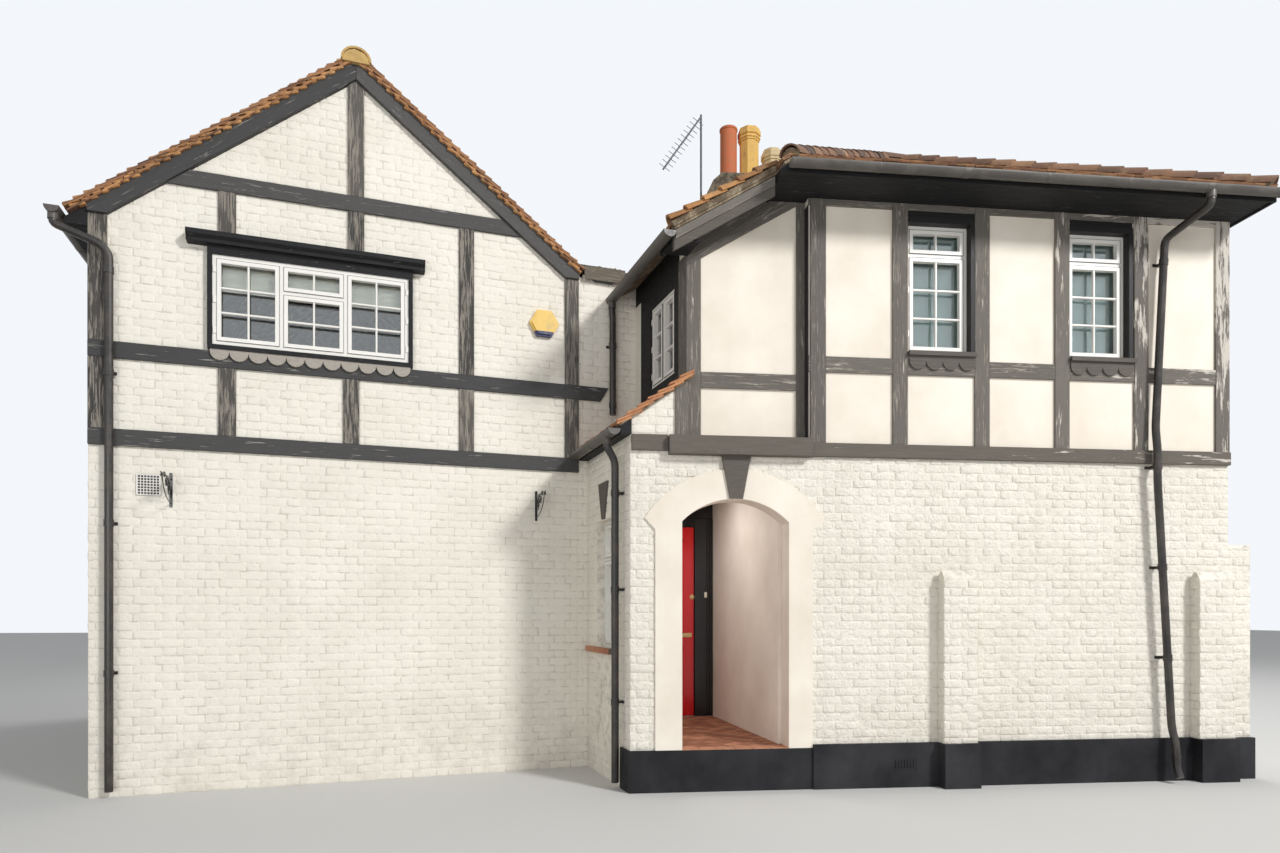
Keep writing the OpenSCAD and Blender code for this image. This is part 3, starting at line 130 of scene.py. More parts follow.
class Shape:
    """Points and faces gathered for one joined mesh."""

    def __init__(self) -> None:
        """Starts with nothing in it."""
        self.points: list[Vector] = []
        self.faces: list[Face] = []
        self.grain: list[Vector] = []
        self.tone: list[float] = []

    def add(self, points: Sequence[Vector], faces: Iterable[Face], tone: float = 0.5,
            grain: Sequence[Vector] | None = None) -> None:
        """Adds a piece.

        Args:
            points: its corners in the part's frame.
            faces: indices into points.
            tone: a number from 0 to 1 that sets the piece's shade.
            grain: a place on the piece for each corner, which its finish follows.
        """
        start = len(self.points)
        self.points.extend(points)
        self.faces.extend(tuple(start + i for i in face) for face in faces)
        self.grain.extend(points if grain is None else grain)
        self.tone.extend([tone] * len(points))

    def block(self, place: Matrix, low: Sequence[float], high: Sequence[float], ease: float = 0.0,
              tone: float = 0.5) -> None:
        """Adds a box with eased edges.

        Args:
            place: turns the box's own axes into the part's frame.
            low: lowest corner.
            high: highest corner.
            ease: width of the eased edge, or 0 for a sharp one.
            tone: shade of the piece.
        """
        lo, hi = Vector(low), Vector(high)
        ease = min([ease] + [0.45 * (hi[i] - lo[i]) for i in range(3)])
        local = [Vector((x, y, z)) for x in (lo.x, hi.x) for y in (lo.y, hi.y) for z in (lo.z, hi.z)]
        if ease > 0:
            sharp, local = local, []
            for n, full in enumerate(sharp):
                inner = full + ease * Vector((1 - 2 * (n // 4), 1 - 2 * (n // 2 % 2), 1 - 2 * (n % 2)))
                local += [Vector((full.x, inner.y, inner.z)), Vector((inner.x, full.y, inner.z)),
                          Vector((inner.x, inner.y, full.z))]
        self.add([place @ p for p in local], EASED_FACES if ease > 0 else SHARP_FACES, tone)

    def board(self, place: Matrix, outline: Sequence[Flat], near: float, far: float, angle: float = 0.0,
              tone: float = 0.5, shift: float = 0.0) -> None:
        """Adds a board or plate whose grain runs at an angle.

        Args:
            place: the face that it lies on.
            outline: its corners on that face, in order round it.
            near: its back, out of the face.
            far: its front.
            angle: turn of the grain against the face's first axis, in degrees.
            tone: shade of the board.
            shift: how far the grain is moved along, so that no two boards look alike.
        """
        turn = Matrix.Rotation(math.radians(angle), 4, "Z")
        turned = [(turn.inverted() @ Vector((x, y, 0))).to_2d() for x, y in outline]
        local = [Vector((*q, w)) for w in (near, far) for q in turned]
        grain = [p + Vector((shift, shift * 0.37, 0)) for p in local]
        self.add([place @ turn @ p for p in local], plate_faces(len(outline)), tone, grain)

    def tube(self, route: Sequence[Vector], radius: float | Sequence[float], sides: int = 16) -> None:
        """Adds a round bar along a route.

        Args:
            route: the middle of the bar.
            radius: its radius, or one for each point of the route.
            sides: how many faces go round it.
        """
        count = len(route)
        radii = [radius] * count if isinstance(radius, (int, float)) else list(radius)
        steps = [(route[i + 1] - route[i]).normalized() for i in range(count - 1)]
        side = steps[0].orthogonal().normalized()
        points: list[Vector] = []
        for i, middle in enumerate(route):
            way = steps[0] if i == 0 else steps[-1]
            if 0 < i < count - 1:
                way = (steps[i - 1] + steps[i]).normalized()
            side = (side - way * side.dot(way)).normalized()
            other = way.cross(side)
            for k in range(sides):
                turn = math.tau * k / sides
                points.append(middle + radii[i] * (side * math.cos(turn) + other * math.sin(turn)))
        self.add(points, ring_faces(count, sides))

    def lathe(self, place: Matrix, profile: Sequence[Flat], sides: int = 32) -> None:
        """Adds a turned form.

        Args:
            place: sets the third axis upright through the middle.
            profile: radius and height of each ring, from one end to the other.
            sides: how many faces go round it.
        """
        turns = [math.tau * k / sides for k in range(sides)]
        points = [place @ Vector((r * math.cos(t), r * math.sin(t), z)) for r, z in profile for t in turns]
        self.add(points, ring_faces(len(profile), sides))

    def build(self, name: str, material: Material, slot: str, replaced: Sequence[str] = (),
              body: str = HOUSE, smooth: float = 0.0, closed: bool = True,
              ease: float = 0.0) -> bpy.types.Object:
        """Makes the mesh object and fastens it to its body.

        Args:
            name: the piece's name.
            material: its finish.
            slot: the record's material slot; not used.
            replaced: the construction nodes that it stands for.
            body: the body that it rides on.
            smooth: largest angle in degrees that is shaded round, or 0 for none.
            closed: whether its pieces are closed, so that their faces can be turned outwards.
            ease: width of the rounding that its edges get.

        Returns:
            The new object.
        """
        mesh = bpy.data.meshes.new(name)
        mesh.from_pydata([tuple(p) for p in self.points], [], self.faces)
        if closed:
            work = bmesh.new()
            work.from_mesh(mesh)
            bmesh.ops.recalc_face_normals(work, faces=work.faces)
            work.to_mesh(mesh)
            work.free()
        grain = mesh.attributes.new("grain", "FLOAT_VECTOR", "POINT")
        grain.data.foreach_set("vector", [c for p in self.grain for c in p])
        tone = mesh.attributes.new("tone", "FLOAT", "POINT")
        tone.data.foreach_set("value", self.tone)
        mesh.materials.append(material)
        piece = bpy.data.objects.new(name, mesh)
        bpy.context.scene.collection.objects.link(piece)
        if smooth > 0:
            mesh.shade_smooth()
            mesh.set_sharp_from_angle(angle=math.radians(smooth))
        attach(piece, body)
        if replaced:
            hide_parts(*replaced)
        if ease > 0:
            soften = piece.modifiers.new("ease", "BEVEL")
            soften.width = ease
            soften.segments = 2
            soften.limit_method = "ANGLE"
        log.info("%s: %d faces", name, len(self.faces))
        return piece


class Recipe:
    """A material under way, with short calls for the nodes that the finishes share."""

    def __init__(self, name: str) -> None:
        """Starts a material of the given name."""
        self.material = bpy.data.materials.new(name)
        self.material.use_nodes = True
        self.tree = self.material.node_tree
        self.shader = self.tree.nodes["Principled BSDF"]
        self.normal: Socket | None = None
        self.place = self.tree.nodes.new("ShaderNodeTexCoord").outputs["Object"]

    def feed(self, socket: Socket, value: Socket | Sequence[float] | float) -> None:
        """Links an input to another node's output, or sets it to a constant.

        Args:
            socket: the input.
            value: the output, or a number, a colour or three factors.
        """
        if isinstance(value, Socket):
            self.tree.links.new(value, socket)
        elif socket.type == "RGBA":
            socket.default_value = (*value, 1.0)
        else:
            socket.default_value = value

    def node(self, kind: str, output: str, *first: Socket | float,
             **others: Socket | Sequence[float] | str) -> Socket:
        """Adds a node, sets it up and feeds it.

        Args:
            kind: its type, without the prefix that all shader nodes share.
            output: which output to use.
            *first: what its first inputs get.
            **others: its settings in lower case, and its inputs with underscores for spaces.

        Returns:
            The output.
        """
        node = self.tree.nodes.new(f"ShaderNode{kind}")
        for name, value in others.items():
            if name.islower():
                setattr(node, name, value)
            else:
                self.feed(node.inputs[name.replace("_", " ")], value)
        for socket, value in zip(node.inputs, first):
            self.feed(socket, value)
        return node.outputs[output]

    def attribute(self, name: str, output: str) -> Socket:
        """Reads a value stored on the mesh from one output of its node."""
        return self.node("Attribute", output, attribute_name=name)

    def stretch(self, place: Socket, scale: Sequence[float]) -> Socket:
        """Scales a place along the three axes before a pattern reads it."""
        return self.node("Mapping", "Vector", Vector=place, Scale=scale)

    def noise(self, scale: float, detail: float = 4.0, rough: float = 0.55,
              place: Socket | None = None) -> Socket:
        """Cloudy pattern from 0 to 1, in clouds a metre, read in the part's frame or at a given place."""
        return self.node("TexNoise", "Fac", Vector=place or self.place, Scale=scale, Detail=detail,
                         Roughness=rough)

    def map(self, value: Socket, low: float, high: float, to_low: float = 0.0,
            to_high: float = 1.0) -> Socket:
        """Spreads the stretch from low to high over another, and holds it at its ends."""
        return self.node("MapRange", "Result", Value=value, From_Min=low, From_Max=high, To_Min=to_low,
                         To_Max=to_high)

    def axis(self, name: str = "Z") -> Socket:
        """Place along one axis of the part's frame, by default the height above the lowest ground."""
        return self.node("SeparateXYZ", name, Vector=self.place)

    def facing_front(self) -> Socket:
        """How squarely a face looks along the second axis, from 0 to 1."""
        along = self.node("SeparateXYZ", "Y", Vector=self.place.node.outputs["Normal"])
        return self.times(self.times(along, -1.0), along, "MAXIMUM")

    def times(self, first: Socket, second: Socket | float, kind: str = "MULTIPLY") -> Socket:
        """Joins two values by arithmetic."""
        return self.node("Math", "Value", first, second, operation=kind)

    def mix(self, share: Socket, first: Socket | Colour, second: Socket | Colour) -> Socket:
        """Blends two colours.

        Args:
            share: how much of the second shows.
            first: the first colour.
            second: the second colour.

        Returns:
            The blend.
        """
        node = self.tree.nodes.new("ShaderNodeMix")
        node.data_type = "RGBA"
        self.feed(node.inputs["Factor"], share)
        for socket, colour in zip((s for s in node.inputs if s.type == "RGBA"), (first, second)):
            self.feed(socket, colour)
        return next(s for s in node.outputs if s.type == "RGBA")

    def ramp(self, value: Socket, stops: Sequence[tuple[float, Colour]]) -> Socket:
        """Turns a value into a colour.

        Args:
            value: a number from 0 to 1.
            stops: places and their colours.

        Returns:
            The colour.
        """
        found = self.node("ValToRGB", "Color", Fac=value)
        elements = found.node.color_ramp.elements
        while len(elements) < len(stops):
            elements.new(0.5)
        for element, (at, colour) in zip(elements, stops):
            element.position = at
            element.color = (*colour, 1.0)
        return found

    def bump(self, height: Socket, depth: float) -> None:
        """Adds relief on top of what is there."""
        below = {} if self.normal is None else {"Normal": self.normal}
        self.normal = self.node("Bump", "Normal", Height=height, Distance=depth, Strength=1.0, **below)

    def finish(self, colour: Socket | Colour, rough: Socket | float, **numbers: float) -> Material:
        """Connects the shader and ends the material.

        Args:
            colour: the base colour.
            rough: the roughness.
            **numbers: other inputs of the shader, with underscores for spaces.

        Returns:
            The material.
        """
        for name, value in {"Base_Color": colour, "Roughness": rough, **numbers}.items():
            self.feed(self.shader.inputs[name.replace("_", " ")], value)
        if self.normal is not None:
            self.feed(self.shader.inputs["Normal"], self.normal)
        return self.material


@dataclass(frozen=True)
class PaintedBrick:
    """Masonry paint over old bricks and joints."""

    name: str = "painted brick"
    paint: Colour = (0.84, 0.795, 0.705)
    shade: Colour = (0.74, 0.69, 0.60)
    grime: Colour = (0.42, 0.38, 0.32)
    relief: float = 0.004
    dirt: float = 0.55

    def make(self) -> Material:
        """Builds the material."""
        recipe = Recipe(self.name)
        tone = recipe.attribute("tone", "Fac")
        base = recipe.mix(recipe.map(recipe.noise(1.3, 6), 0.35, 0.75), self.paint, self.shade)
        base = recipe.mix(recipe.map(tone, 0.0, 1.0, 0.0, 0.35), base, self.paint)
        specks = recipe.map(recipe.noise(34, 5, 0.7), 0.66, 0.8)
        low = recipe.map(recipe.axis(), 0.38, 1.1, 1.0, 0.0)
        splash = recipe.times(low, recipe.map(recipe.noise(7, 6, 0.7), 0.45, 0.8))
        colour = recipe.mix(recipe.times(specks, 0.35), base, self.grime)
        colour = recipe.mix(recipe.times(splash, 0.45), colour, self.grime)
        joint = recipe.times(recipe.map(tone, 0.0, 0.004, 1.0, 0.0),
                             recipe.map(recipe.noise(11, 6, 0.7), 0.47, 0.6))
        colour = recipe.mix(recipe.times(joint, self.dirt), colour, self.grime)
        recipe.bump(recipe.noise(14, 4, 0.6), self.relief * 2.4)
        recipe.bump(recipe.noise(45, 6, 0.65), self.relief * 1.3)
        recipe.bump(recipe.noise(210, 3, 0.6), self.relief * 0.25)
        return recipe.finish(colour, recipe.map(recipe.noise(18), 0.3, 0.7, 0.62, 0.85))


@dataclass(frozen=True)
class SmoothRender:
    """Painted render or plaster with faint trowel marks, and painted shade on faces that turn away from the
    front where edge is above 0.
    """

    name: str
    paint: Colour
    shade: Colour
    relief: float = 0.0012
    streaks: float = 0.35
    # edge: strength of the painted shade on faces that turn away from the front.
    edge: float = 0.0

    def make(self) -> Material:
        """Builds the material."""
        recipe = Recipe(self.name)
        drips = recipe.noise(1.0, 6, 0.6, recipe.stretch(recipe.place, (9, 9, 0.9)))
        colour = recipe.mix(recipe.map(recipe.noise(1.7, 5), 0.35, 0.7), self.paint, self.shade)
        colour = recipe.mix(recipe.map(drips, 0.55, 0.85, 0.0, self.streaks), colour, self.shade)
        # Painted shade: faces that turn away from the front, such as the sides of a raised surround or the
        # walls of holes, are darkened towards dark brown.
        if self.edge > 0:
            colour = recipe.mix(recipe.map(recipe.facing_front(), 0.3, 0.6, self.edge, 0.0), colour,
                                (0.20, 0.18, 0.15))
        recipe.bump(recipe.noise(6, 5, 0.5), self.relief * 2)
        recipe.bump(recipe.noise(120, 4, 0.6), self.relief * 0.3)
        return recipe.finish(colour, recipe.map(recipe.noise(11), 0.3, 0.7, 0.55, 0.75),
                             Specular_IOR_Level=0.2)


@dataclass(frozen=True)
class OldTimber:
    """Painted timber with open grain, where the paint has worn thin."""

    name: str
    paint: Colour
    worn: Colour
    wear: float = 0.45
    rough: float = 0.6
    fixed: bool = False
    flaked: bool = False

    def make(self) -> Material:
        """Builds the material."""
        recipe = Recipe(self.name)
        grain = recipe.place if self.fixed else recipe.attribute("grain", "Vector")
        fibre = recipe.noise(1.0, 7, 0.65, recipe.stretch(grain, (5, 95, 95)))
        fine = recipe.noise(1.0, 4, 0.6, recipe.stretch(grain, (12, 260, 260)))
        patch = recipe.noise(1.0, 6, 0.7, recipe.stretch(grain, (3.0, 24, 24)))
        start = 0.42 - self.wear * 0.22
        bare = recipe.map(recipe.times(patch, fibre), start, start + 0.05)
        tint = recipe.mix(recipe.map(fibre, 0.3, 0.7), tuple(c * 0.75 for c in self.paint), self.paint)
        shade = recipe.map(recipe.attribute("tone", "Fac"), 0.0, 1.0, 0.0, 0.3)
        tint = recipe.mix(shade, tint, self.worn)
        colour = recipe.mix(recipe.times(bare, 0.85), tint, self.worn)
        if self.flaked:
            high = recipe.map(recipe.axis(), 3.3, 5.1, 0.35, 1.0)
            right = recipe.times(recipe.map(recipe.axis("X"), 2.4, 4.7, 0.0, 0.24), high)
            old = recipe.times(patch, right, "ADD")
            colour = recipe.mix(recipe.map(old, 0.64, 0.70, 0.0, 0.8), colour, (0.66, 0.61, 0.54))
        recipe.bump(fibre, 0.0035)
        recipe.bump(fine, 0.0009)
        recipe.bump(bare, 0.0006)
        return recipe.finish(colour, recipe.map(patch, 0.3, 0.7, self.rough - 0.08, self.rough + 0.2),
                             Specular_IOR_Level=0.25)


@dataclass(frozen=True)
class ClayTile:
    """Fired clay in mixed shades, with lichen and soot."""

    name: str
    dark: Colour
    middle: Colour
    light: Colour
    lichen: Colour = (0.36, 0.34, 0.20)
    growth: float = 0.4

    def make(self) -> Material:
        """Builds the material."""
        recipe = Recipe(self.name)
        tone = recipe.attribute("tone", "Fac")
        base = recipe.ramp(tone, ((0.0, self.dark), (0.5, self.middle), (1.0, self.light)))
        stain = recipe.map(recipe.noise(9, 7, 0.7), 0.42, 0.72)
        moss = recipe.map(recipe.noise(5, 8, 0.75), 0.56, 0.7, 0.0, self.growth)
        colour = recipe.mix(recipe.times(stain, 0.6), base, self.dark)
        colour = recipe.mix(moss, colour, self.lichen)
        recipe.bump(recipe.noise(90, 5, 0.7), 0.0015)
        recipe.bump(recipe.noise(400, 2), 0.0004)
        return recipe.finish(colour, recipe.map(recipe.noise(30), 0.3, 0.7, 0.7, 0.92))


@dataclass(frozen=True)
class Banded:
    """Clay or plastic whose colour changes at places along one axis."""

    name: str
    axis: str
    bands: tuple[tuple[float, Colour], ...]
    soot: Colour
    rough: float = 0.8

    def make(self) -> Material:
        """Builds the material."""
        recipe = Recipe(self.name)
        place = recipe.axis(self.axis)
        colour: Socket | Colour = self.bands[0][1]
        for start, paint in self.bands[1:]:
            colour = recipe.mix(recipe.map(place, start - 0.0005, start + 0.0005), colour, paint)
        stain = recipe.map(recipe.noise(9, 7, 0.75), 0.5, 0.75, 0.0, 0.75)
        recipe.bump(recipe.noise(70, 5, 0.7), 0.001)
        return recipe.finish(recipe.mix(stain, colour, self.soot), self.rough)


@dataclass(frozen=True)
class Paint:
    """Even coat of paint or coloured plastic with a little dust and wear."""

    name: str
    coat: Colour
    dust: Colour
    rough: float = 0.35
    dusty: float = 0.25
    relief: float = 0.0004

    def make(self) -> Material:
        """Builds the material."""
        recipe = Recipe(self.name)
        soil = recipe.map(recipe.noise(5, 7, 0.7), 0.45, 0.8, 0.0, self.dusty)
        fleck = recipe.map(recipe.noise(70, 4, 0.7), 0.62, 0.75, 0.0, self.dusty * 0.7)
        colour = recipe.mix(fleck, recipe.mix(soil, self.coat, self.dust), self.dust)
        recipe.bump(recipe.noise(55, 3), self.relief)
        return recipe.finish(colour, recipe.map(soil, 0.0, 0.3, self.rough, self.rough + 0.2))


@dataclass(frozen=True)
class Glazing:
    """Clear window glass."""

    name: str = "clear glass"
    tint: Colour = (0.86, 0.93, 0.92)

    def make(self) -> Material:
        """Builds the material."""
        recipe = Recipe(self.name)
        recipe.bump(recipe.noise(2.2, 1), 0.0006)
        return recipe.finish(self.tint, 0.02, Transmission_Weight=1.0, IOR=1.5, Coat_Weight=1.0,
                             Coat_IOR=1.9)


@dataclass(frozen=True)
class Weave:
    """Woven blind cloth."""

    name: str
    thread: Colour
    shade: Colour

    def make(self) -> Material:
        """Builds the material."""
        recipe = Recipe(self.name)
        warp = recipe.noise(1.0, 2, 0.5, recipe.stretch(recipe.place, (900, 900, 40)))
        weft = recipe.noise(1.0, 2, 0.5, recipe.stretch(recipe.place, (40, 40, 900)))
        cloth = recipe.times(warp, weft)
        recipe.bump(cloth, 0.0006)
        return recipe.finish(recipe.mix(cloth, self.shade, self.thread), 0.9, Sheen_Weight=0.3)


@dataclass(frozen=True)
class RoughMasonry:
    """Old brick faces under smeared mortar, or mortar alone."""

    name: str
    brick: Colour
    mortar: Colour
    smear: float = 0.5

    def make(self) -> Material:
        """Builds the material."""
        recipe = Recipe(self.name)
        tone = recipe.attribute("tone", "Fac")
        dark = tuple(c * 0.45 for c in self.brick)
        base = recipe.ramp(tone, ((0.0, dark), (1.0, self.brick)))
        cover = recipe.map(recipe.noise(8, 7, 0.75), 0.62 - self.smear * 0.3, 0.75 - self.smear * 0.3)
        recipe.bump(recipe.noise(60, 7, 0.7), 0.005)
        return recipe.finish(recipe.mix(cover, base, self.mortar), 0.9)


class Finishes:
    """Every finish of the house, made once."""

    brick = PaintedBrick()
    rough_brick = PaintedBrick("rough painted brick", relief=0.009, dirt=0.5)
    panel = SmoothRender("cream panel", (0.85, 0.785, 0.685), (0.74, 0.66, 0.56))
    # edge darkens the surround's side faces: painted shadow along its raised outline.
    surround = SmoothRender("rendered surround", (0.85, 0.80, 0.71), (0.74, 0.69, 0.60), 0.002, edge=0.85)
    plaster = SmoothRender("porch plaster", (0.84, 0.75, 0.66), (0.72, 0.62, 0.53), 0.001, 0.2)
    # edge darkens the vent's side faces and the walls of its holes: painted shade inside them.
    vent = SmoothRender("cast vent", (0.80, 0.78, 0.74), (0.70, 0.66, 0.60), 0.0006, edge=1.0)
    plinth = SmoothRender("black plinth", (0.010, 0.010, 0.012), (0.035, 0.035, 0.038), 0.003)
    charcoal = OldTimber("charcoal rail", (0.030, 0.031, 0.034), (0.34, 0.32, 0.29), 0.42)
    weathered = OldTimber("weathered stud", (0.046, 0.044, 0.043), (0.29, 0.26, 0.22), 0.84, 0.72)
    dark_boards = OldTimber("dark boards", (0.014, 0.014, 0.015), (0.11, 0.10, 0.09), 0.35, 0.6, True)
    grey = OldTimber("grey timber", (0.135, 0.121, 0.107), (0.30, 0.27, 0.23), 0.62, 0.72, False, True)
    beam = OldTimber("painted beam", (0.135, 0.118, 0.100), (0.19, 0.165, 0.14), 0.40, 0.7, False, True)
    link = OldTimber("link board", (0.13, 0.11, 0.085), (0.30, 0.26, 0.20), 0.6, 0.7)
    grey_boards = OldTimber("grey boards", (0.125, 0.110, 0.094), (0.26, 0.23, 0.19), 0.35, 0.7, True)
    black_wood = OldTimber("black timber", (0.010, 0.010, 0.011), (0.06, 0.055, 0.05), 0.2, 0.4)
    cream_wood = OldTimber("cream timber", (0.42, 0.38, 0.33), (0.30, 0.22, 0.16), 0.3, 0.6, True)
    boards = OldTimber("floor boards", (0.30, 0.19, 0.11), (0.20, 0.12, 0.07), 0.3, 0.6, True)
    white = Paint("white gloss", (0.82, 0.795, 0.745), (0.60, 0.58, 0.53), 0.3, 0.2)
    red = Paint("red gloss", (0.72, 0.008, 0.012), (0.35, 0.05, 0.04), 0.16, 0.06, 0.0002)
    black = Paint("black gloss", (0.008, 0.008, 0.009), (0.05, 0.045, 0.04), 0.2, 0.15)
    pipe = Paint("black pipe", (0.022, 0.019, 0.017), (0.15, 0.12, 0.095), 0.30, 0.45)
    gutter = Paint("weathered gutter", (0.072, 0.065, 0.058), (0.17, 0.15, 0.13), 0.4, 0.6)
    brass = Paint("brass", (0.75, 0.55, 0.24), (0.35, 0.25, 0.12), 0.3, 0.3)
    ivory = Paint("ivory plastic", (0.80, 0.76, 0.62), (0.5, 0.45, 0.35), 0.35, 0.2)
    gap = Paint("shadow gap", (0.035, 0.033, 0.030), (0.08, 0.07, 0.06), 0.8, 0.3)
    yellow = Banded("yellow cover", "Z", ((0.0, (0.012, 0.018, 0.09)), (4.402, (0.76, 0.50, 0.10))),
                    (0.45, 0.33, 0.16), 0.4)
    silver = Paint("dull metal", (0.11, 0.11, 0.12), (0.16, 0.15, 0.14), 0.4, 0.4)
    felt = SmoothRender("roofing felt", (0.05, 0.05, 0.052), (0.12, 0.115, 0.11), 0.004)
    tile = ClayTile("roof tile", (0.095, 0.050, 0.032), (0.31, 0.145, 0.070), (0.52, 0.27, 0.12))
    lean_tile = ClayTile("bright tile", (0.24, 0.095, 0.045), (0.48, 0.21, 0.095), (0.62, 0.32, 0.15),
                         growth=0.3)
    verge_tile = ClayTile("verge tile", (0.11, 0.055, 0.025), (0.46, 0.215, 0.075), (0.64, 0.34, 0.13),
                          growth=0.3)
    hip_tile = ClayTile("hip tile", (0.075, 0.048, 0.036), (0.22, 0.12, 0.075), (0.36, 0.21, 0.12))
    ridge_tile = ClayTile("ridge tile", (0.24, 0.135, 0.055), (0.47, 0.29, 0.10), (0.60, 0.41, 0.15),
                          growth=0.5)
    mortar = RoughMasonry("brown mortar", (0.22, 0.16, 0.10), (0.34, 0.27, 0.18))
    moss = RoughMasonry("moss", (0.14, 0.13, 0.03), (0.34, 0.28, 0.08))
    stack = RoughMasonry("stack brick", (0.24, 0.15, 0.085), (0.22, 0.18, 0.125), 0.45)
    pots = Banded("chimney pot", "X",
                  ((0.0, (0.54, 0.155, 0.065)), (1.03, (0.74, 0.46, 0.13)), (1.34, (0.62, 0.50, 0.29))),
                  (0.34, 0.20, 0.09))
    flaunching = RoughMasonry("stack mortar", (0.15, 0.115, 0.075), (0.20, 0.165, 0.115), 0.6)
    quarry = ClayTile("quarry tile", (0.22, 0.08, 0.042), (0.42, 0.17, 0.09), (0.56, 0.28, 0.16),
                      (0.34, 0.26, 0.18), 0.2)
    glass = Glazing()
    roman = Weave("roman blind", (0.80, 0.74, 0.60), (0.62, 0.56, 0.44))
    roller = Weave("roller blind", (0.33, 0.43, 0.41), (0.25, 0.34, 0.33))

    def __init__(self) -> None:
        """Makes a material of every finish, under the same name."""
        for name, finish in vars(Finishes).items():
            if is_dataclass(finish):
                setattr(self, name, finish.make())


@dataclass(frozen=True)
class Plan:
    """Where the two blocks of the house stand, in metres, as the construction sets them."""

    bend: float = math.radians(13.2)
    gable_w: float = 4.30
    gable_d: float = 7.00
    nib: float = 0.105
    side_len: float = 1.34
    wing_left: float = 0.94
    wing_right: float = 4.78
    wing_d: float = 4.00
    ground_z: float = 0.37
    first_z: float = 3.10
    gable_eaves: float = 5.035
    gable_pitch: float = math.radians(38.0)
    side_step: float = 0.522

    @property
    def along(self) -> Vector:
        """Direction along the gabled front."""
        return Vector((math.cos(self.bend), math.sin(self.bend), 0.0))

    @property
    def back(self) -> Vector:
        """Direction from the gabled front to its back."""
        return Vector((-math.sin(self.bend), math.cos(self.bend), 0.0))

    @property
    def side_a(self) -> float:
        """Distance of the lower side wall along the gabled front."""
        return self.gable_w + self.nib

    @property
    def upper_a(self) -> float:
        """Distance of the upper side wall along the gabled front."""
        return self.side_a + self.side_step

    @property
    def corner(self) -> Vector:
        """Front left corner of the gabled block."""
        meet = Vector((-self.wing_left, 0.0, 0.0)) + self.back * self.side_len
        return meet - self.along * self.side_a

    @property
    def apex_z(self) -> float:
        """Height where the two slopes of the gabled walls meet."""
        return self.gable_eaves + self.gable_w / 2 * math.tan(self.gable_pitch)

    def at(self, a: float, b: float, z: float = 0.0) -> Vector:
        """Turns a distance along the gabled front, a depth behind it and a height into the part's frame."""
        return self.corner + self.along * a + self.back * b + UP * z

    def a_at(self, x: float, y: float) -> float:
        """Distance along the gabled front of a place in the part's frame."""
        return (Vector((x, y, 0)) - self.corner).dot(self.along)

    def edge_x(self, a: float, y: float) -> float:
        """Place in x where a plane square to the gabled front crosses a given y."""
        return self.corner.x + (a - (y - self.corner.y) * math.sin(self.bend)) / math.cos(self.bend)


PLAN = Plan()


def wall_place(origin: Vector, along: Vector) -> Matrix:
    """Frame of a wall face: its zero, and its directions to the right as seen from outside, up and out."""
    return Matrix.Translation(origin) @ Matrix((along, UP, along.cross(UP))).transposed().to_4x4()


GABLE_FRONT = wall_place(PLAN.corner, PLAN.along)
GABLE_LEFT = wall_place(PLAN.at(0, PLAN.gable_d), -PLAN.back)
GABLE_BACK = wall_place(PLAN.at(PLAN.gable_w, PLAN.gable_d), -PLAN.along)
GABLE_RIGHT = wall_place(PLAN.at(PLAN.gable_w, 0), PLAN.back)
SIDE_WALL = wall_place(PLAN.at(PLAN.side_a, 0), -PLAN.back)
UPPER_SIDE = wall_place(PLAN.at(PLAN.upper_a, 0), -PLAN.back)
WING_FRONT = wall_place(RIGHT * 0.0, RIGHT)
WING_RIGHT = wall_place(RIGHT * PLAN.wing_right, INTO)
WING_BACK = wall_place(Vector((PLAN.wing_right, PLAN.wing_d, 0)), LEFT)


def ring_edges(outline: Sequence[Flat]) -> list[tuple[Flat, Flat]]:
    """Edges of an outline, each as its two ends."""
    return list(zip(outline, [*outline[1:], outline[0]]))


def signed_area(outline: Sequence[Flat]) -> float:
    """Area inside an outline, below zero where it is given clockwise."""
    return sum(p[0] * q[1] - q[0] * p[1] for p, q in ring_edges(outline)) / 2


def anticlockwise(ring: Sequence[Flat]) -> list[Flat]:
    """The same outline, given anticlockwise."""
    return list(ring) if signed_area(ring) > 0 else list(reversed(ring))


def rect(left: float, low: float, right: float, high: float) -> list[Flat]:
    """Corners of an upright rectangle, anticlockwise."""
    return [(left, low), (right, low), (right, high), (left, high)]


def extent(points: Iterable[Flat]) -> Box:
    """Left, bottom, right and top of some points."""
    across, up = zip(*points)
    return min(across), min(up), max(across), max(up)


def border(x0: float, z0: float, x1: float, z1: float, wide: float) -> list[Box]:
    """Four strips along the inside of a rectangle's edges."""
    return [(x0, z0, x1, z0 + wide), (x0, z1 - wide, x1, z1), (x0, z0, x0 + wide, z1),
            (x1 - wide, z0, x1, z1)]


def clip(outline: Sequence[Flat], edges: Sequence[tuple[Flat, Flat]]) -> list[Flat]:
    """Cuts a flat outline to what lies to the left of each edge.

    Args:
        outline: corners of a convex outline.
        edges: pairs of points.

    Returns:
        The corners that are left, or an empty list.
    """
    points = list(outline)
    for (ax, ay), (bx, by) in edges:
        kept: list[Flat] = []
        for p, q in ring_edges(points):
            dp = (bx - ax) * (p[1] - ay) - (by - ay) * (p[0] - ax)
            dq = (bx - ax) * (q[1] - ay) - (by - ay) * (q[0] - ax)
            if dp >= 0:
                kept.append(p)
            if (dp >= 0) != (dq >= 0):
                t = dp / (dp - dq)
                kept.append((p[0] + t * (q[0] - p[0]), p[1] + t * (q[1] - p[1])))
        points = kept
        if len(points) < 3:
            return []
    return points


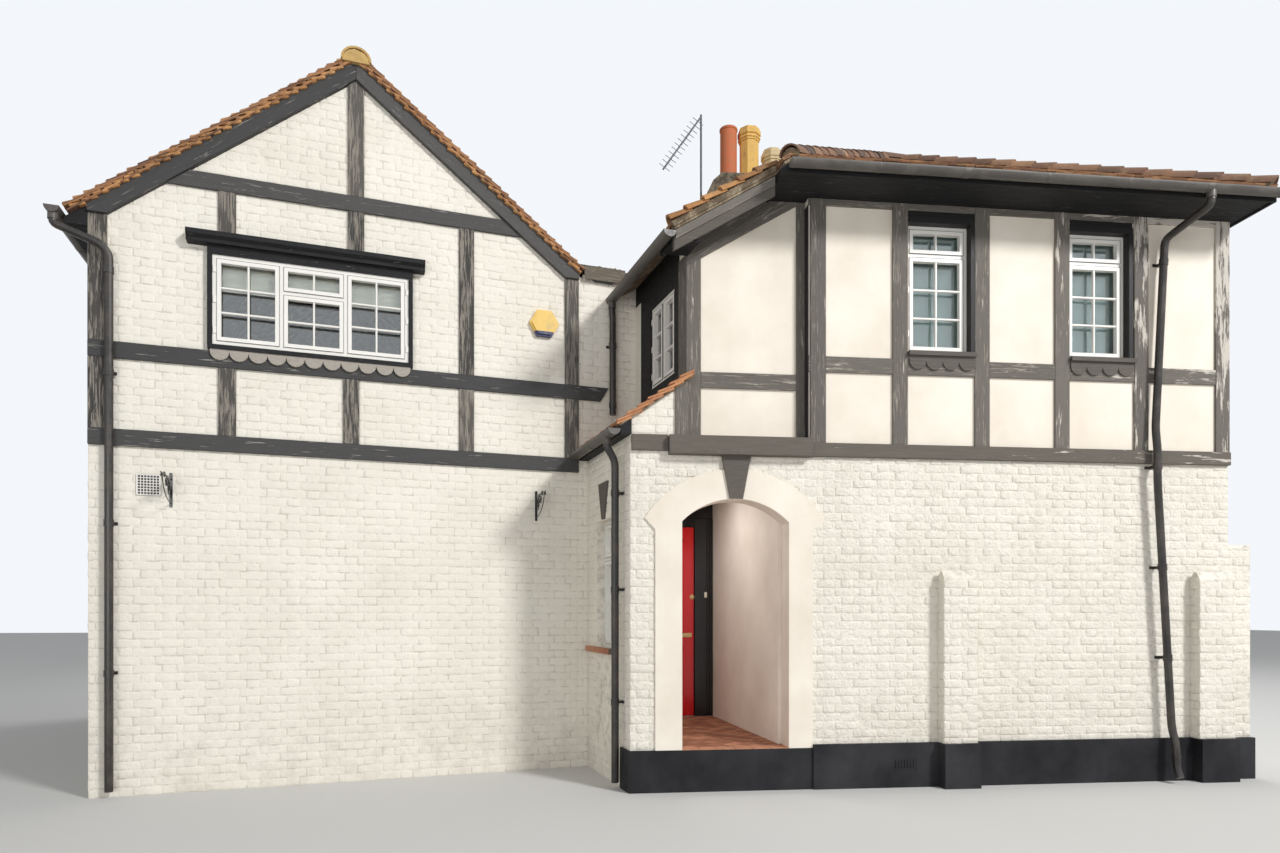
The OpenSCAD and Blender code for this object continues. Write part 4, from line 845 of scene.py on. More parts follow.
@dataclass
class Brickwork:
    """Lays bricks that stand a little proud of a wall's joints."""

    course: float = 0.075
    stretcher: float = 0.215
    header: float = 0.1025
    joint: float = 0.008
    proud: float = 0.0042
    bond: Bond = Bond.FLEMISH
    seed: int = 11
    least_width: float = 0.02
    least_cut: float = 0.015
    least_area: float = 0.0008
    wobble: float = 0.0011
    rings: tuple[Flat, ...] = ((0.0, 0.0), (0.003, 0.65), (0.009, 1.0))
    rng: random.Random = field(init=False)

    def __post_init__(self) -> None:
        """Seeds the small differences between bricks."""
        self.rng = random.Random(self.seed)

    def row(self, index: int, left: float, right: float) -> list[Flat]:
        """Ends of each brick in a course.

        Args:
            index: the course's number from the bottom.
            left: where the wall begins.
            right: where it ends.

        Returns:
            Pairs of left and right ends.
        """
        sizes = [self.stretcher, self.header] if self.bond is Bond.FLEMISH else [self.stretcher]
        pitch = sum(sizes) + self.joint * len(sizes)
        at = left - pitch - (pitch / 2 if index % 2 else 0)
        ends: list[Flat] = []
        while at < right:
            size = sizes[len(ends) % len(sizes)]
            ends.append((max(at, left), min(at + size, right)))
            at += size + self.joint
        return [(a, b) for a, b in ends if b - a > self.least_width]

    def brick(self, shape: Shape, place: Matrix, outline: Sequence[Flat]) -> None:
        """Adds one brick face with soft edges.

        Args:
            shape: gathers the bricks.
            place: the wall face.
            outline: the brick's corners on it.
        """
        cx = sum(p[0] for p in outline) / len(outline)
        cy = sum(p[1] for p in outline) / len(outline)
        out = self.proud * self.rng.uniform(0.25, 1.3)
        tilt_x, tilt_y = self.rng.gauss(0, 0.007), self.rng.gauss(0, 0.012)
        points: list[Vector] = []
        for inset, lift in self.rings:
            for x, y in outline:
                dx, dy = cx - x, cy - y
                nx = x + math.copysign(min(inset, abs(dx) * 0.7), dx)
                ny = y + math.copysign(min(inset, abs(dy) * 0.7), dy)
                if lift:
                    nx += self.rng.gauss(0, self.wobble)
                    ny += self.rng.gauss(0, self.wobble)
                depth = out * lift + (tilt_x * (nx - cx) + tilt_y * (ny - cy)) * lift
                points.append(place @ Vector((nx, ny, max(depth, 0.0002) if lift else -0.001)))
        faces = ring_faces(len(self.rings), len(outline))
        del faces[-2]
        shape.add(points, faces, self.rng.uniform(0.02, 1.0))

    def lay(self, shape: Shape, place: Matrix, outline: Sequence[Flat], holes: Sequence[Box] = ()) -> None:
        """Fills a wall with bricks.

        Args:
            shape: gathers the bricks.
            place: the wall face.
            outline: a convex outline given anticlockwise.
            holes: rectangles without bricks, as left, bottom, right, top.
        """
        left, low, right, high = extent(outline)
        edges = ring_edges(outline)
        index = math.floor(low / self.course)
        while index * self.course < high:
            z0 = index * self.course + self.joint / 2
            z1 = z0 + self.course - self.joint
            for x0, x1 in self.row(index, left, right):
                spans = [(x0, x1, z0, z1)]
                for hole in holes:
                    spans = [s for span in spans for s in self.cut(span, hole)]
                for a, b, c, d in spans:
                    piece = clip(rect(a, c, b, d), edges)
                    if len(piece) > 2 and abs(signed_area(piece)) > self.least_area:
                        self.brick(shape, place, piece)
            index += 1

    def cut(self, span: Box, hole: Box) -> list[Box]:
        """Takes a rectangular hole out of a brick.

        Args:
            span: left, right, bottom and top of the brick.
            hole: left, bottom, right and top of the hole.

        Returns:
            What is left of the brick.
        """
        x0, x1, z0, z1 = span
        hx0, hz0, hx1, hz1 = hole
        if x1 <= hx0 or x0 >= hx1 or z1 <= hz0 or z0 >= hz1:
            return [span]
        inner = (max(x0, hx0), min(x1, hx1))
        parts = ((x0 < hx0 - self.least_cut, (x0, hx0, z0, z1)),
                 (x1 > hx1 + self.least_cut, (hx1, x1, z0, z1)),
                 (z0 < hz0 - self.least_cut, (*inner, z0, hz0)),
                 (z1 > hz1 + self.least_cut, (*inner, hz1, z1)))
        return [part for stays, part in parts if stays]


@dataclass
class PaintedWalls:
    """Brick faces of every outer wall of both blocks."""

    back_window: Flat = (1.20, 1.05)
    back_rows: Flat = (1.30, 3.757)
    wing_back_x: float = 2.90
    pilasters: tuple[Flat, ...] = ((1.883, 2.203), (4.386, 4.748))
    pilaster_t: float = 0.120
    pilaster_top: float = 1.885
    pier_w: float = 0.24
    pier_top: float = 2.2
    pier_back: float = 0.010
    eaves_box_z: float = 4.855
    rail_rows: Flat = (3.012, 3.759)
    rail_h: float = 0.14
    vent: Box = (0.353, 2.594, 0.547, 2.779)
    vent_first: Flat = (0.370, 2.6065)
    vent_pitch: float = 0.024
    vent_hole: float = 0.017
    vent_out: float = 0.0124
    link_z: float = 4.98
    first_top: float = 3.2
    side_top: float = 3.12
    wing_top: float = 2.97
    wing_low: float = 0.4
    wing_eaves: float = 5.28

    def build(self, looks: Finishes) -> None:
        """Lays and builds the walls of both blocks and of the recess."""
        self.gable(looks)
        self.recess(looks)
        self.wing(looks)

    def wall(self, name: str, finish: Material, work: Brickwork, *faces: Sequence) -> None:
        """Lays the faces of one piece of brickwork and builds it.

        Args:
            name: the piece's name.
            finish: its finish.
            work: lays the bricks.
            *faces: place, outline and, where it has some, holes of each face.
        """
        shape = Shape()
        for face in faces:
            work.lay(shape, *face)
        shape.build(name, finish, "white_brick", closed=False, smooth=50)

    def back_holes(self, left: float) -> list[Box]:
        """Openings of a column of back windows."""
        w, h = self.back_window
        return [(left, z, left + w, z + h) for z in self.back_rows]

    def gable(self, looks: Finishes) -> None:
        """Lays the four walls of the gabled block, and fills the holes of its vent with dark plugs of
        painted shadow.
        """
        work = Brickwork(seed=3)
        w, eaves = PLAN.gable_w, PLAN.gable_eaves
        outline = [(0, 0), (w, 0), (w, eaves), (w / 2, PLAN.apex_z), (0, eaves)]
        # Painted shadow: dark plugs fill the vent's holes almost to its face.
        dark = Shape()
        for column in range(7):
            for row in range(7):
                x = self.vent_first[0] + self.vent_pitch * column
                z = self.vent_first[1] + self.vent_pitch * row
                dark.block(GABLE_FRONT, (x, z, 0.0), (x + self.vent_hole, z + self.vent_hole, self.vent_out))
        dark.build("vent_holes", looks.gap, "black_frame")
        window = BoxWindow()
        right = window.left + window.width + 0.035
        holes = [(window.left - 0.035, window.sill - 0.04, right, window.top + 0.075),
                 *((0, z, w, z + self.rail_h) for z in self.rail_rows), self.vent]
        self.wall("gable_front_bricks", looks.brick, work, (GABLE_FRONT, outline, holes))
        self.wall("gable_left_bricks", looks.brick, work,
                  (GABLE_LEFT, rect(0, 0, PLAN.gable_d, self.eaves_box_z)))
        self.wall("gable_back_bricks", looks.brick, work,
                  (GABLE_BACK, outline, self.back_holes((w - self.back_window[0]) / 2)))
        start = PLAN.wing_d / math.cos(PLAN.bend) - 0.2
        self.wall("gable_right_bricks", looks.brick, work,
                  (GABLE_RIGHT, rect(start, 0, PLAN.gable_d, self.eaves_box_z)))

    def recess(self, looks: Finishes) -> None:
        """Lays the recess wall, the side wall and the cheek beside the lean-to."""
        side = SideWindows()
        hole = (-side.low_b - side.low_w, side.low_z, -side.low_b, side.low_z + side.low_h)
        foot = PLAN.edge_x(PLAN.side_a, 0)
        head = PLAN.edge_x(PLAN.upper_a, 0.1) - 0.112
        rise = (head - foot) * math.tan(math.radians(35))
        self.wall("recess_bricks", looks.brick, Brickwork(seed=5, proud=0.0035),
                  (GABLE_FRONT, rect(PLAN.gable_w, 0, PLAN.side_a, self.first_top)),
                  (GABLE_FRONT, rect(PLAN.gable_w, self.first_top, PLAN.upper_a, self.link_z)),
                  (SIDE_WALL, rect(0, 0, PLAN.side_len, self.side_top), [hole, (0.30, 0.3, 0.86, 1.2)]),
                  (WING_FRONT, [(foot, 3.15), (head, 3.15), (head, 3.27 + rise), (foot, 3.27)]))
        sill = Shape()
        rng = random.Random(6)
        for k in range(5):
            x = 0.044 + 0.159 * k
            sill.block(SIDE_WALL, (x, side.low_z - 0.052, FACE_GAP), (x + 0.156, side.low_z + 0.003, 0.044),
                       0.004, rng.uniform(0.3, 0.9))
        sill.build("side_sill_tiles", looks.quarry, "quarry_tile")

    def wing(self, looks: Finishes) -> None:
        """Lays the ground floor front, the right wall and the back wall of the wing."""
        work = Brickwork(seed=7, proud=0.006, joint=0.010)
        left, right, low = -PLAN.wing_left, PLAN.wing_right, self.wing_low
        main = [(left, 0.37), (right, low), (right, self.wing_top), (left, self.wing_top)]
        faces = [(WING_FRONT, main, [(-0.6, 0.3, 0.6, 2.65)])]
        for x0, x1 in self.pilasters:
            faces.append((WING_FRONT @ Matrix.Translation((0, 0, self.pilaster_t)),
                          rect(x0, low, x1, self.pilaster_top)))
            faces.append((wall_place(RIGHT * x0, OUT), rect(0, low, self.pilaster_t, self.pilaster_top)))
        faces.append((WING_FRONT @ Matrix.Translation((0, 0, -self.pier_back)),
                      rect(right, low, right + self.pier_w, self.pier_top)))
        self.wall("wing_front_bricks", looks.rough_brick, work, *faces)
        self.wall("wing_right_bricks", looks.brick, work,
                  (WING_RIGHT, rect(0, 0, PLAN.wing_d, self.wing_eaves)))
        meet = right - PLAN.edge_x(PLAN.gable_w, PLAN.wing_d)
        self.wall("wing_back_bricks", looks.brick, work,
                  (WING_BACK, rect(0, 0, meet, self.link_z),
                   self.back_holes(right - self.wing_back_x - self.back_window[0])))


def line_frame(start: Vector, end: Vector) -> tuple[Vector, Vector, Vector]:
    """Works out the directions of a line of tiles.

    Args:
        start: its lower end.
        end: its upper end.

    Returns:
        The directions along it, level across it and square to both.
    """
    way = (end - start).normalized()
    across = way.cross(UP).normalized()
    return way, across, across.cross(way).normalized()


@dataclass
class TiledRoofs:
    """Plain clay tiles of the gabled roof, the wing roof and the lean-to."""

    tile_w: float = 0.165
    tile_l: float = 0.265
    gauge: float = 0.10
    tile_t: float = 0.013
    gable_t: float = 0.085
    gable_left_out: float = 0.17
    gable_right_out: float = 0.05
    verge_out: float = 0.085
    wing_pitch: float = math.radians(30)
    side_pitch: float = math.radians(31)
    wing_tile_z: float = 5.43
    side_drop: float = 0.035
    wing_out: float = 0.45
    end_out: float = 0.09
    hip_left: float = 0.29
    verge_y: float = -0.27
    side_out: float = 0.265
    lean_pitch: float = math.radians(35)
    lean_out: float = 0.13
    lean_y: float = -0.05
    bed: Flat = (-0.066, -0.041)
    ridge_drop: float = 0.116
    rng: random.Random = field(default_factory=lambda: random.Random(21))

    @property
    def hip_a(self) -> float:
        """Distance of the slanted hip's foot along the gabled front."""
        return PLAN.a_at(self.hip_left, -self.wing_out)

    def slope_place(self, origin: Vector, run: Vector, pitch: float) -> Matrix:
        """Frame of a roof slope: from its eaves along them, up the slope and out of it.

        Args:
            origin: a point on the eaves line at the tiles' top.
            run: level direction from the eaves towards the ridge.
            pitch: the slope's pitch.

        Returns:
            The matrix from the slope's own axes to the part's frame.
        """
        up = run * math.cos(pitch) + UP * math.sin(pitch)
        out = UP * math.cos(pitch) - run * math.sin(pitch)
        return Matrix.Translation(origin) @ Matrix((up.cross(out), up, out)).transposed().to_4x4()

    def one_tile(self, shape: Shape, place: Matrix, piece: Sequence[Flat], tail: float, whole: bool) -> None:
        """Adds one tile, cut to its piece of the slope.

        Args:
            shape: gathers the tiles.
            place: the slope.
            piece: the tile's outline on the slope.
            tail: where its lower edge is.
            whole: whether it isn't cut, so that it keeps its camber.
        """
        lift = self.rng.gauss(0, 0.0016)
        lean = self.rng.gauss(0, 0.004)
        tone = min(max(self.rng.gauss(0.5, 0.24), 0), 1)
        middle = sum(p[0] for p in piece) / len(piece)

        def top(x: float, y: float) -> float:
            """Height of the tile's upper face over the slope."""
            return -2 * self.tile_t * ((y - tail) / self.tile_l) + lift + lean * (x - middle)

        if not whole:
            points = [place @ Vector((x, y, top(x, y) - drop)) for drop in (0.0, self.tile_t)
                      for x, y in piece]
            shape.add(points, plate_faces(len(piece)), tone)
            return
        x0, y0, x1, y1 = extent(piece)
        y0 += self.rng.gauss(0, 0.003)
        columns = [(x0, 0.0), ((x0 + x1) / 2, 0.003), (x1, 0.0)]
        points = [place @ Vector((x, y, top(x, y) + arch - drop))
                  for drop in (0.0, self.tile_t) for y in (y0, y1) for x, arch in columns]
        faces = [(0, 1, 4, 3), (1, 2, 5, 4), (6, 9, 10, 7), (7, 10, 11, 8), (0, 6, 7, 1), (1, 7, 8, 2),
                 (3, 4, 10, 9), (4, 5, 11, 10), (0, 3, 9, 6), (2, 8, 11, 5)]
        shape.add(points, faces, tone)

    def lay(self, shape: Shape, place: Matrix, regions: Sequence[Sequence[Flat]]) -> None:
        """Covers the regions of a slope with tiles.

        Args:
            shape: gathers the tiles.
            place: the slope.
            regions: convex outlines given anticlockwise.
        """
        left, low, right, high = extent([p for region in regions for p in region])
        for k in range(-1, math.ceil((high - low) / self.gauge)):
            tail = low + k * self.gauge
            at = left - self.tile_w * (1.5 if k % 2 else 1.0)
            while at < right:
                tile = rect(at + 0.0015, low if k < 0 else tail, at + self.tile_w - 0.0015,
                            tail + self.tile_l)
                for region in regions:
                    piece = clip(tile, ring_edges(region))
                    share = signed_area(piece) / signed_area(tile) if len(piece) > 2 else 0
                    if share > 0.04:
                        self.one_tile(shape, place, piece, tail, share > 0.999)
                at += self.tile_w

    def gable_roof(self, looks: Finishes) -> None:
        """Tiles both slopes of the gabled roof and beds their verges."""
        pitch = PLAN.gable_pitch
        depth = PLAN.gable_d + 2 * self.verge_out
        thick = self.gable_t * math.cos(pitch)
        top = -3 * self.tile_t - 0.002
        tiles, deck, ends = Shape(), Shape(), Shape()
        sides = ((self.gable_left_out, -self.gable_left_out, PLAN.along, PLAN.gable_d + self.verge_out),
                 (self.gable_right_out, PLAN.gable_w + self.gable_right_out, -PLAN.along, -self.verge_out))
        for out, a, run, b in sides:
            z = PLAN.gable_eaves - out * math.tan(pitch) + self.gable_t
            place = self.slope_place(PLAN.at(a, b, z), run, pitch)
            length = (PLAN.gable_w / 2 + out) / math.cos(pitch)
            self.lay(tiles, place, [rect(0, 0, depth, length)])
            deck.block(place, (0.045, 0.008, 0.015 - thick), (depth - 0.045, length, top), tone=0.0)
            for v in (0.0, depth - 0.12):
                self.undercloak(tiles, place, v, length, -thick)
            for v, inward in ((0.001, 1), (depth - 0.001, -1)):
                for lift in (0.002, -0.036):
                    first, last = (place @ Vector((v, y, lift)) for y in (0.004 - lift, length - 0.02))
                    self.verge(ends, first, last, place.to_3x3() @ Vector((inward, 0, 0)),
                               (0.10, 0.023, 0.1))
        tiles.build("gable_roof_tiles", looks.tile, "roof_tile", ["gable_roof"])
        ends.build("gable_verge_tiles", looks.verge_tile, "roof_tile")
        deck.build("gable_roof_bed", looks.mortar, "roof_tile")

    def verge(self, shape: Shape, start: Vector, end: Vector, inward: Vector, size: Sequence[float]) -> None:
        """Lays a stepped row of thick tile ends along a verge.

        Args:
            shape: gathers the tiles.
            start: the row's lower end, at the middle of its thickness.
            end: its upper end.
            inward: level direction from the verge into the roof.
            size: depth of a tile end into the roof, its thickness and the step to the next.
        """
        deep, thick, step = size
        way = (end - start).normalized()
        out = inward.cross(way)
        out = out if out.z > 0 else -out
        count = max(1, round((end - start).length / step))
        pitch = (end - start).length / count
        for k in range(count):
            tip = start + way * (k * pitch + self.rng.gauss(0, 0.004)) + out * self.rng.gauss(0, 0.002)
            tilt = Matrix.Rotation(-1.25 * thick / pitch + self.rng.gauss(0, 0.03), 3, inward)
            if (tilt @ way).z > way.z:
                tilt.transpose()
            place = Matrix.Translation(tip) @ Matrix((inward, tilt @ way, tilt @ out)).transposed().to_4x4()
            shape.block(place, (self.rng.uniform(0, 0.004), 0, -thick / 2), (deep, pitch * 1.3, thick / 2),
                        thick * 0.3, self.rng.uniform(0.25, 1.0))

    def undercloak(self, shape: Shape, place: Matrix, along: float, length: float, base: float) -> None:
        """Lays the flat course of tiles under a verge.

        Args:
            shape: gathers the tiles.
            place: the slope.
            along: where the course begins along the eaves.
            length: how far it runs up the slope.
            base: height of its underside over the slope.
        """
        at = 0.0
        while at < length:
            end = min(at + self.tile_w, length)
            lift = self.rng.uniform(0, 0.002)
            shape.block(place, (along, at + 0.002, base + lift),
                        (along + 0.12, end - 0.002, base + 0.014 + lift), 0.002, self.rng.random())
            at = end

    def wing_corners(self) -> dict[str, Vector]:
        """Corners of the wing roof at the tiles' top.

        Returns:
            The ends of the ridge and the feet of the hips, by name.
        """
        side_tan = math.tan(self.side_pitch)
        ridge_y = PLAN.wing_d / 2
        rise = (self.wing_out + ridge_y) * math.tan(self.wing_pitch)
        right = PLAN.wing_right + self.end_out
        front_y, back_y = -self.wing_out, PLAN.wing_d + self.wing_out
        foot_a = self.hip_a + self.side_drop / side_tan
        ridge_a = self.hip_a + (rise + self.side_drop) / side_tan
        z, ridge_z = self.wing_tile_z, self.wing_tile_z + rise
        return {
            "front_left": Vector((PLAN.edge_x(foot_a, front_y), front_y, z)),
            "front_right": Vector((right, front_y, z)),
            "back_right": Vector((right, back_y, z)),
            "back_left": Vector((PLAN.edge_x(foot_a, back_y), back_y, z)),
            "ridge_left": Vector((PLAN.edge_x(ridge_a, ridge_y), ridge_y, ridge_z)),
            "ridge_right": Vector((right - (self.wing_out + ridge_y), ridge_y, ridge_z)),
        }

    def flat_on(self, place: Matrix, points: Sequence[Vector]) -> list[Flat]:
        """Places of points in a slope's own plane."""
        back = place.inverted()
        return [((back @ p).x, (back @ p).y) for p in points]

    def on_side(self, x: float, y: float) -> Vector:
        """Point of the left slope over a place in plan."""
        rise = (PLAN.a_at(x, y) - self.hip_a) * math.tan(self.side_pitch)
        return Vector((x, y, self.wing_tile_z - self.side_drop + rise))

    def wing_roof(self, looks: Finishes) -> None:
        """Tiles the four slopes of the wing roof."""
        at = self.wing_corners()
        tiles, beds, ends = Shape(), Shape(), Shape()
        slopes = (
            ("front_left", INTO, ("front_left", "front_right", "ridge_right", "ridge_left")),
            ("front_right", LEFT, ("front_right", "back_right", "ridge_right")),
            ("back_right", OUT, ("back_right", "back_left", "ridge_left", "ridge_right")),
        )
        stack = ChimneyStack()
        for origin, run, names in slopes:
            place = self.slope_place(at[origin], run, self.wing_pitch)
            corners = self.flat_on(place, [at[name] for name in names])
            regions = [corners]
            if origin == "back_right":
                lo, hi = at[origin].x - (stack.left + stack.width + 0.01), at[origin].x - (stack.left - 0.01)
                behind = (at[origin].y - PLAN.wing_d) / math.cos(self.wing_pitch)
                above = [((lo, 9), (lo, 0)), ((hi, 0), (hi, 9)), ((0, behind), (9, behind))]
                regions = [clip(corners, cuts)
                           for cuts in ([((lo, 0), (lo, 9))], [((hi, 9), (hi, 0))], above)]
            regions = [ring for ring in regions if len(ring) > 2]
            for ring in regions:
                beds.board(place, ring, *self.bed)
            self.lay(tiles, place, regions)
        first, rear = PLAN.at(PLAN.upper_a - self.side_out, 0), PLAN.at(PLAN.upper_a, 0)
        back_y = PLAN.wing_d + self.wing_out
        foot = self.on_side(first.x, first.y)
        verge = [self.on_side(x, self.verge_y)
                 for x in (PLAN.edge_x(PLAN.upper_a - self.side_out, self.verge_y), self.hip_left)]
        meet = self.on_side(rear.x + 2.9 * PLAN.along.x, rear.y + 2.9 * PLAN.along.y)
        place = self.slope_place(foot, PLAN.along, self.side_pitch)
        rings = ([*verge, meet, foot],
                 [verge[1], self.on_side(self.hip_left, -self.wing_out), at["front_left"], at["ridge_left"],
                  meet],
                 [self.on_side(rear.x, rear.y), meet, at["back_left"],
                  self.on_side(PLAN.edge_x(PLAN.upper_a, back_y), back_y)])
        regions = [anticlockwise(self.flat_on(place, ring)) for ring in rings]
        self.lay(tiles, place, regions)
        for ring in regions:
            beds.board(place, ring, *self.bed)
        lift = INTO * 0.030 + UP * 0.004
        self.barrel(ends, verge[0] + lift, verge[1] + lift, 0.068, 0.19, 0.02, 0.30)
        self.bedding(beds, verge[0] - UP * 0.030 + INTO * 0.04, verge[1] - UP * 0.030 + INTO * 0.04, 0.054)
        ends.build("facet_verge_tiles", looks.verge_tile, "roof_tile", smooth=40)
        tiles.build("wing_roof_tiles", looks.tile, "roof_tile", ["wing_roof"])
        beds.build("wing_roof_bed", looks.mortar, "roof_tile")

    def lean_to(self, looks: Finishes) -> None:
        """Tiles the lean-to roof in the recess."""
        tiles, bed = Shape(), Shape()
        low_a = PLAN.side_a - self.lean_out
        tan = math.tan(self.lean_pitch)
        top = 3.275 - self.lean_out * tan + 0.06
        head = top + (PLAN.upper_a - low_a) * tan
        place = self.slope_place(PLAN.at(low_a, 0, top), PLAN.along, self.lean_pitch)
        foot = PLAN.at(low_a, 0)
        ends = [Vector((PLAN.edge_x(a, self.lean_y), self.lean_y, z))
                for a, z in ((low_a, top), (PLAN.upper_a, head))]
        ring = self.flat_on(place, [Vector((foot.x, foot.y, top)), *ends, PLAN.at(PLAN.upper_a, 0, head)])
        self.lay(tiles, place, [anticlockwise(ring)])
        bed.board(place, ring, -0.049, -0.041)
        for lift in (0.006, -0.022):
            self.verge(tiles, ends[0] + UP * lift, ends[1] + UP * lift - PLAN.along * 0.03, INTO,
                       (0.12, 0.02, 0.105))
        tiles.build("lean_to_tiles", looks.lean_tile, "roof_tile", ["lean_to_roof"])
        bed.build("lean_to_bed", looks.mortar, "roof_tile")

    def barrel(self, shape: Shape, start: Vector, end: Vector, radius: float, length: float,
               thick: float = 0.014, taper: float = 0.06) -> None:
        """Lays half round tiles along a line.

        Args:
            shape: gathers the tiles.
            start: the lower end of the line.
            end: the upper end.
            radius: outer radius of a tile.
            length: visible length of a tile.
            thick: thickness of the clay.
            taper: how much narrower a tile is at its upper end.
        """
        way, across, out = line_frame(start, end)
        count = max(1, round((end - start).length / length))
        step = (end - start).length / count
        steps = 10
        n = steps + 1
        faces: list[Face] = []
        for i in range(steps):
            faces.append((i, i + 1, 2 * n + i + 1, 2 * n + i))
            faces.append((n + i, 3 * n + i, 3 * n + i + 1, n + i + 1))
            faces.append((i, n + i, n + i + 1, i + 1))
            faces.append((2 * n + i, 2 * n + i + 1, 3 * n + i + 1, 3 * n + i))
        faces += [(0, 2 * n, 3 * n, n), (steps, n + steps, 3 * n + steps, 2 * n + steps)]
        for k in range(count):
            lift = self.rng.uniform(0.0, 0.006)
            skew = self.rng.gauss(0, 0.006)
            tone = min(max(self.rng.gauss(0.5, 0.25), 0), 1)
            near = start + way * (k * step - 0.012) + out * (0.010 + lift)
            away = start + way * ((k + 1) * step + 0.03) + out * (-0.004 + lift) + across * skew
            points: list[Vector] = []
            for at, wide in ((near, radius), (away, radius * (1 - taper))):
                for r in (wide, wide - thick):
                    for i in range(n):
                        turn = math.pi * (i / steps) * 1.02 - 0.01 * math.pi
                        points.append(at + across * (r * math.cos(turn)) + out * (r * math.sin(turn) * 0.92))
            shape.add(points, faces, tone)

    def bedding(self, shape: Shape, start: Vector, end: Vector, radius: float, turns: float = 1.3) -> None:
        """Fills the hollow of a line of half round tiles with mortar.

        Args:
            shape: gathers the mortar.
            start: the lower end of the line.
            end: the upper end.
            radius: radius of the fill.
            turns: how far round it goes, in half turns.
        """
        way, across, out = line_frame(start, end)
        sides = 16
        points = []
        for at in (start + way * 0.012, end):
            for i in range(sides):
                turn = math.pi * (turns * i / (sides - 1) - (turns - 1) / 2)
                rough = radius * self.rng.uniform(0.93, 1.03)
                points.append(at + across * (rough * math.cos(turn)) + out * (rough * math.sin(turn) * 0.9))
        shape.add(points, ring_faces(2, sides), self.rng.random())

    def ridges(self, looks: Finishes) -> None:
        """Lays the ridge of the gabled roof and the hips and ridge of the wing."""
        ridge, hips, beds = Shape(), Shape(), Shape()
        top = PLAN.apex_z + self.gable_t - self.ridge_drop
        start, end = (PLAN.at(PLAN.gable_w / 2, b, top)
                      for b in (-self.verge_out - 0.005, PLAN.gable_d + self.verge_out + 0.01))
        self.barrel(ridge, start, end, 0.135, 0.33, 0.02)
        self.bedding(ridge, start - PLAN.back * 0.02, end, 0.121, 1.04)
        ridge.build("gable_ridge_row", looks.ridge_tile, "ridge_tile", ["gable_ridge_tiles"], smooth=40)
        at = self.wing_corners()
        lines = (("front_left", "ridge_left"), ("ridge_left", "ridge_right"), ("front_right", "ridge_right"),
                 ("back_right", "ridge_right"), ("back_left", "ridge_left"))
        for first, second in lines:
            start, end = at[first] - UP * 0.030, at[second] - UP * 0.030
            inset = (end - start).normalized() * (0.045 if first != "ridge_left" else 0.0)
            self.barrel(hips, start + inset, end, 0.092, 0.215)
            self.bedding(beds, start + inset, end, 0.076)
        hips.build("wing_hip_row", looks.hip_tile, "hip_tile", ["wing_hip_tiles"], smooth=40)
        beds.build("ridge_mortar", looks.mortar, "hip_tile", smooth=40)

    def build(self, looks: Finishes) -> None:
        """Tiles every roof."""
        self.gable_roof(looks)
        self.wing_roof(looks)
        self.lean_to(looks)
        self.ridges(looks)


@dataclass
class ChimneyStack:
    """Stack of smeared old bricks at the back of the wing."""

    left: float = 0.54
    width: float = 1.24
    depth: float = 0.50
    shaft: float = 7.40

    def build(self, looks: Finishes) -> None:
        """Lays the bricks of its four faces."""
        work = Brickwork(seed=9, proud=0.007, bond=Bond.STRETCHER)
        bricks = Shape()
        right, near, far = self.left + self.width, PLAN.wing_d, PLAN.wing_d + self.depth
        faces = (((self.left, near), RIGHT, self.width, 5.4), ((self.left, far), OUT, self.depth, 0.0),
                 ((right, near), INTO, self.depth, 0.0), ((right, far), LEFT, self.width, 0.0))
        for (x, y), way, run, low in faces:
            work.lay(bricks, wall_place(Vector((x, y, 0)), way), rect(0, low, run, self.shaft))
        bricks.build("stack_bricks", looks.stack, "stack_brick", closed=False, smooth=50)


